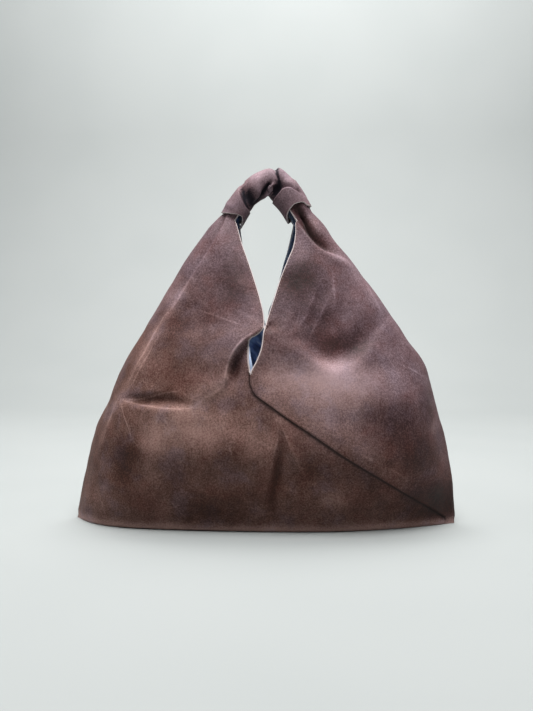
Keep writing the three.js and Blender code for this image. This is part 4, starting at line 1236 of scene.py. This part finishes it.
def blue_cotton(colours):
    """Fine plain cotton, woven and dyed: matt, with a slight sheen, painted shade between its folds and
    painted light on their crests and near the mouth.
    """
    material, tree, shader, place = new_material("blue cotton lining")
    cloth = add(tree, "ShaderNodeUVMap", uv_map="cloth").outputs["UV"]
    shade = add(tree, "ShaderNodeTexNoise", {"Vector": place, "Scale": 1 / (20 * MM), "Detail": 3.0})
    edge = add(tree, "ShaderNodeAttribute", attribute_name="edge").outputs["Fac"]
    slanting = add(tree, "ShaderNodeMapping", {
        "Vector": place, "Rotation": (0, math.radians(-40), 0), "Scale": (1, 5, 5)}, vector_type="TEXTURE")
    folds = add(tree, "ShaderNodeTexNoise", {
        "Vector": slanting.outputs["Vector"], "Scale": 1 / (8 * MM), "Detail": 2.0})
    weave = add(tree, "ShaderNodeTexWave", {
        "Vector": cloth, "Scale": WAVE_SCALE / (1.0 * MM), "Distortion": 0.4}, bands_direction="DIAGONAL")
    # Painted shade between the lining's folds, painted sheen on their crests, and painted light near the
    # mouth edge where light comes in.
    dyed_and_shaded = layered(tree, colours.lining_deep, [
        (shade.outputs["Fac"], 0.35, 0.7, 1.0, colours.lining),
        (folds.outputs["Fac"], 0.5, 0.4, 0.65, colours.lining_hollow_shade),
        (folds.outputs["Fac"], 0.56, 0.68, 0.7, colours.lining_lit),
        (edge, 9.0 * MM, 2.0 * MM, 0.85, colours.lining_lit),
    ])
    tree.links.new(dyed_and_shaded, shader.inputs["Base Color"])
    shader.inputs["Roughness"].default_value = 0.5
    shader.inputs["Sheen Weight"].default_value = 0.3
    shader.inputs["Sheen Roughness"].default_value = 0.35
    relief = 0.0
    for part, height in ((weave.outputs["Fac"], 0.03 * MM), (folds.outputs["Fac"], 2.2 * MM)):
        relief = add(tree, "ShaderNodeMath", {
            0: part, 1: height, 2: relief}, operation="MULTIPLY_ADD").outputs[0]
    bump = add(tree, "ShaderNodeBump", {"Height": relief, "Distance": 1.0, "Strength": 0.8})
    tree.links.new(bump.outputs["Normal"], shader.inputs["Normal"])
    return material


def spun_thread(colours):
    """Waxed sewing thread: two twisted plies, slightly shiny. The twist is too fine to show."""
    material, tree, shader, place = new_material("brown waxed thread")
    twist = add(tree, "ShaderNodeTexNoise", {"Vector": place, "Scale": 1 / (1.5 * MM), "Detail": 1.0})
    spun = layered(tree, colours.thread, [(twist.outputs["Fac"], 0.3, 0.8, 0.35, colours.edge)])
    tree.links.new(spun, shader.inputs["Base Color"])
    shader.inputs["Roughness"].default_value = 0.5
    return material


def paper_sweep(colours):
    """Matt background paper, smooth, with hardly any grain."""
    material, tree, shader, place = new_material("background paper")
    grain = add(tree, "ShaderNodeTexNoise", {"Vector": place, "Scale": 4.0, "Detail": 1.0})
    shaded = layered(tree, colours.floor, [(grain.outputs["Fac"], 0.3, 0.8, 0.3, colours.floor_shade)])
    tree.links.new(shaded, shader.inputs["Base Color"])
    shader.inputs["Roughness"].default_value = 0.9
    shader.inputs["Specular IOR Level"].default_value = 0.2
    return material


def stitch_tree():
    """Stitches along a line: short flat lengths of thread, set at a pitch, each lying along the line."""
    tree = bpy.data.node_groups.new("Topstitching", "GeometryNodeTree")
    interface = tree.interface
    interface.new_socket("Line", in_out="INPUT", socket_type="NodeSocketGeometry")
    for name in ("Pitch", "Stitch Length", "Thread"):
        interface.new_socket(name, in_out="INPUT", socket_type="NodeSocketFloat")
    interface.new_socket("Material", in_out="INPUT", socket_type="NodeSocketMaterial")
    interface.new_socket("Stitches", in_out="OUTPUT", socket_type="NodeSocketGeometry")
    given = add(tree, "NodeGroupInput").outputs
    curve = add(tree, "GeometryNodeMeshToCurve", {"Mesh": given["Line"]})
    spots = add(tree, "GeometryNodeCurveToPoints", {
        "Curve": curve.outputs["Curve"], "Length": given["Pitch"]}, mode="LENGTH")
    turn = add(tree, "FunctionNodeAlignRotationToVector", {"Vector": spots.outputs["Tangent"]}, axis="X")
    bead = add(tree, "GeometryNodeMeshUVSphere", {"Segments": 8, "Rings": 5, "Radius": 0.5})
    smooth = add(tree, "GeometryNodeSetShadeSmooth", {"Geometry": bead.outputs["Mesh"]})
    size = add(tree, "ShaderNodeCombineXYZ", {
        "X": given["Stitch Length"], "Y": given["Thread"], "Z": given["Thread"]})
    placed = add(tree, "GeometryNodeInstanceOnPoints", {
        "Points": spots.outputs["Points"], "Instance": smooth.outputs["Geometry"],
        "Rotation": turn.outputs["Rotation"], "Scale": size.outputs["Vector"]})
    whole = add(tree, "GeometryNodeRealizeInstances", {"Geometry": placed.outputs["Instances"]})
    finished = add(tree, "GeometryNodeSetMaterial", {
        "Geometry": whole.outputs["Geometry"], "Material": given["Material"]})
    add(tree, "NodeGroupOutput", {"Stitches": finished.outputs["Geometry"]})
    return tree


def stitch_lines(surface, sizes):
    """Lines of points just inside each mouth edge, on the canvas."""
    normals = surface.normals()
    first_row = BASE_ROWS + COLUMNS + LIP_ROWS
    last_row = first_row + NECK_ROWS
    lines = []
    for ids in surface.ids:
        rows = ids[first_row:last_row]
        gaps = np.linalg.norm(np.diff(surface.points[rows], axis=1), axis=2)
        run = np.concatenate([np.zeros((len(rows), 1)), np.cumsum(gaps, axis=1)], axis=1)
        line = []
        for row, lengths in zip(rows, run):
            lifted = surface.points[row] + normals[row] * sizes.thread * STITCH_LIFT
            line.append([np.interp(sizes.inset, lengths, lifted[:, axis]) for axis in range(3)])
        lines.append(np.array(line))
    return lines


def object_sizes(context):
    """The bag's, the sleeve's and the stitches' sizes, and the colours."""
    scene = context.scene
    return scene.azuma_bag, scene.azuma_sleeve, scene.azuma_stitches, scene.azuma_colours


class AZUMA_OT_bag_body(bpy.types.Operator):
    """Build the waxed canvas shell and the cotton lining"""

    bl_idname = "azuma.bag_body"
    bl_label = "Build bag body"

    def execute(self, context):
        bag, sleeve, _, colours = object_sizes(context)
        surface = bag_surface(bag, sleeve)
        material = waxed_canvas(
            "waxed canvas", colours.canvas, colours.canvas_low, colours.canvas_dark_and_shade, colours.tan,
            colours, seed=3.0)
        shell = cloth_piece("bag_shell", surface, 0.0, bag.canvas, material)
        depth = bag.canvas + bag.ply_gap
        lining = cloth_piece(
            "bag_lining", surface, depth, depth + bag.lining, blue_cotton(colours), rolled_lip(surface, bag))
        for piece, node, slot in (
            (shell, "canvas_shell", "waxed_canvas"), (lining, "cotton_lining", "lining_cotton")):
            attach(piece, "root")
            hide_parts(node)
        return {"FINISHED"}


class AZUMA_OT_handle_sleeve(bpy.types.Operator):
    """Build the gathered canvas sleeve that is the handle"""

    bl_idname = "azuma.handle_sleeve"
    bl_label = "Build handle sleeve"

    def execute(self, context):
        bag, sleeve, _, colours = object_sizes(context)
        surface = sleeve_surface(bag, sleeve)
        material = waxed_canvas(
            "rubbed waxed canvas", colours.sleeve_canvas, colours.sleeve_canvas, colours.sleeve_dark_and_shade,
            colours.canvas_light, colours, seed=9.0)
        piece = cloth_piece("sleeve", surface, 0.0, sleeve.wall, material)
        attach(piece, "root")
        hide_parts("handle_sleeve")
        return {"FINISHED"}


class AZUMA_OT_topstitching(bpy.types.Operator):
    """Sew the topstitching along the mouth edges"""

    bl_idname = "azuma.topstitching"
    bl_label = "Sew topstitching"

    def execute(self, context):
        bag, sleeve, sizes, colours = object_sizes(context)
        lines = stitch_lines(bag_surface(bag, sleeve), sizes)
        mesh = bpy.data.meshes.new("stitch_lines")
        starts = np.cumsum([0] + [len(line) for line in lines])
        edges = [(i, i + 1) for a, b in zip(starts, starts[1:]) for i in range(a, b - 1)]
        mesh.from_pydata(np.vstack(lines).tolist(), edges, [])
        carrier = bpy.data.objects.new("stitch_lines", mesh)
        context.scene.collection.objects.link(carrier)
        modifier = carrier.modifiers.new("Topstitching", "NODES")
        modifier.node_group = stitch_tree()
        given = {
            "Pitch": sizes.pitch, "Stitch Length": sizes.length, "Thread": sizes.thread,
            "Material": spun_thread(colours)}
        for item in modifier.node_group.interface.items_tree:
            if item.in_out == "INPUT" and item.name in given:
                modifier[item.identifier] = given[item.name]
        whole = carrier.evaluated_get(context.evaluated_depsgraph_get())
        stitches = bpy.data.objects.new("topstitching", bpy.data.meshes.new_from_object(whole))
        context.scene.collection.objects.link(stitches)
        bpy.data.objects.remove(carrier)
        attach(stitches, "root")
        return {"FINISHED"}


class AZUMA_OT_stage(bpy.types.Operator):
    """Set up the paper sweep, the soft light and the camera"""

    bl_idname = "azuma.stage"
    bl_label = "Set up stage"

    def execute(self, context):
        colours = object_sizes(context)[3]
        scene = context.scene
        front, back, rise, radius, half_width = -3.0, 1.1, 2.6, 0.9, 4.0
        curve_points = 24
        corner = [
            (back + radius * math.sin(a), radius * (1 - math.cos(a)))
            for a in np.linspace(0, math.pi / 2, curve_points)]
        profile = [(front, 0.0)] + corner + [(back + radius, rise)]
        points = [(x, y, z) for y, z in profile for x in (-half_width, half_width)]
        faces = [(2 * i, 2 * i + 1, 2 * i + 3, 2 * i + 2) for i in range(len(profile) - 1)]
        mesh = bpy.data.meshes.new("floor")
        mesh.from_pydata(points, [], faces)
        mesh.shade_smooth()
        mesh.materials.append(paper_sweep(colours))
        floor = bpy.data.objects.new("floor", mesh)
        scene.collection.objects.link(floor)

        world = scene.world or bpy.data.worlds.new("soft room")
        scene.world = world
        world.use_nodes = True
        sky = world.node_tree.nodes["Background"]
        sky.inputs["Color"].default_value = linear("#e4e9ec")
        sky.inputs["Strength"].default_value = 0.22
        lights = (
            # name, place, aim, size, watts
            ("overhead softbox", (0.1, -0.55, 1.65), (0, -0.05, 0.15), 0.9, 44),
            ("left softbox", (-1.4, -0.3, 1.5), (0, 0.4, 0.2), 0.8, 7),
            ("backdrop light", (0.0, 0.7, 2.2), (-0.2, 1.9, 0.5), 1.6, 96),
        )
        for name, place, aim, size, power in lights:
            light = bpy.data.lights.new(name, "AREA")
            light.energy, light.size = power, size
            lamp = bpy.data.objects.new(name, light)
            lamp.location = place
            lamp.rotation_euler = (Vector(aim) - Vector(place)).to_track_quat("-Z", "Y").to_euler()
            scene.collection.objects.link(lamp)

        camera_data = bpy.data.cameras.new("camera")
        camera_data.lens, camera_data.sensor_width = CAMERA_LENS, CAMERA_SENSOR
        camera = bpy.data.objects.new("camera", camera_data)
        camera.location = CAMERA_PLACE
        way = math.radians(CAMERA_TURN)
        tip = math.radians(CAMERA_TIP)
        aim = Vector((math.sin(way) * math.cos(tip), math.cos(way) * math.cos(tip), -math.sin(tip)))
        camera.rotation_euler = aim.to_track_quat("-Z", "Y").to_euler()
        scene.collection.objects.link(camera)
        scene.camera = camera
        scene.view_settings.view_transform = "Standard"
        return {"FINISHED"}


class AZUMA_PT_panel(bpy.types.Panel):
    """Sizes, colours and build steps of the azuma bag"""

    bl_idname = "AZUMA_PT_panel"
    bl_label = "Azuma Bag"
    bl_space_type = "VIEW_3D"
    bl_region_type = "UI"
    bl_category = "Azuma Bag"

    def draw(self, context):
        for settings in object_sizes(context):
            box = self.layout.box()
            for name in settings.__annotations__:
                box.prop(settings, name)
        for step in STEPS:
            self.layout.operator(step.bl_idname)


STEPS = (AZUMA_OT_bag_body, AZUMA_OT_handle_sleeve, AZUMA_OT_topstitching, AZUMA_OT_stage)
SETTINGS = {
    "azuma_bag": BagSizes, "azuma_sleeve": SleeveSizes,
    "azuma_stitches": StitchSizes, "azuma_colours": BagColours,
}


def register():
    for kind in (*SETTINGS.values(), *STEPS, AZUMA_PT_panel):
        bpy.utils.register_class(kind)
    for name, kind in SETTINGS.items():
        setattr(bpy.types.Scene, name, bpy.props.PointerProperty(type=kind))


def unregister():
    for name in SETTINGS:
        delattr(bpy.types.Scene, name)
    for kind in (AZUMA_PT_panel, *reversed(STEPS), *reversed(SETTINGS.values())):
        bpy.utils.unregister_class(kind)


def main():
    register()
    bpy.ops.azuma.stage()
    bpy.ops.azuma.bag_body()
    bpy.ops.azuma.handle_sleeve()
    bpy.ops.azuma.topstitching()
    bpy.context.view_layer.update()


if __name__ == "__main__":
    main()
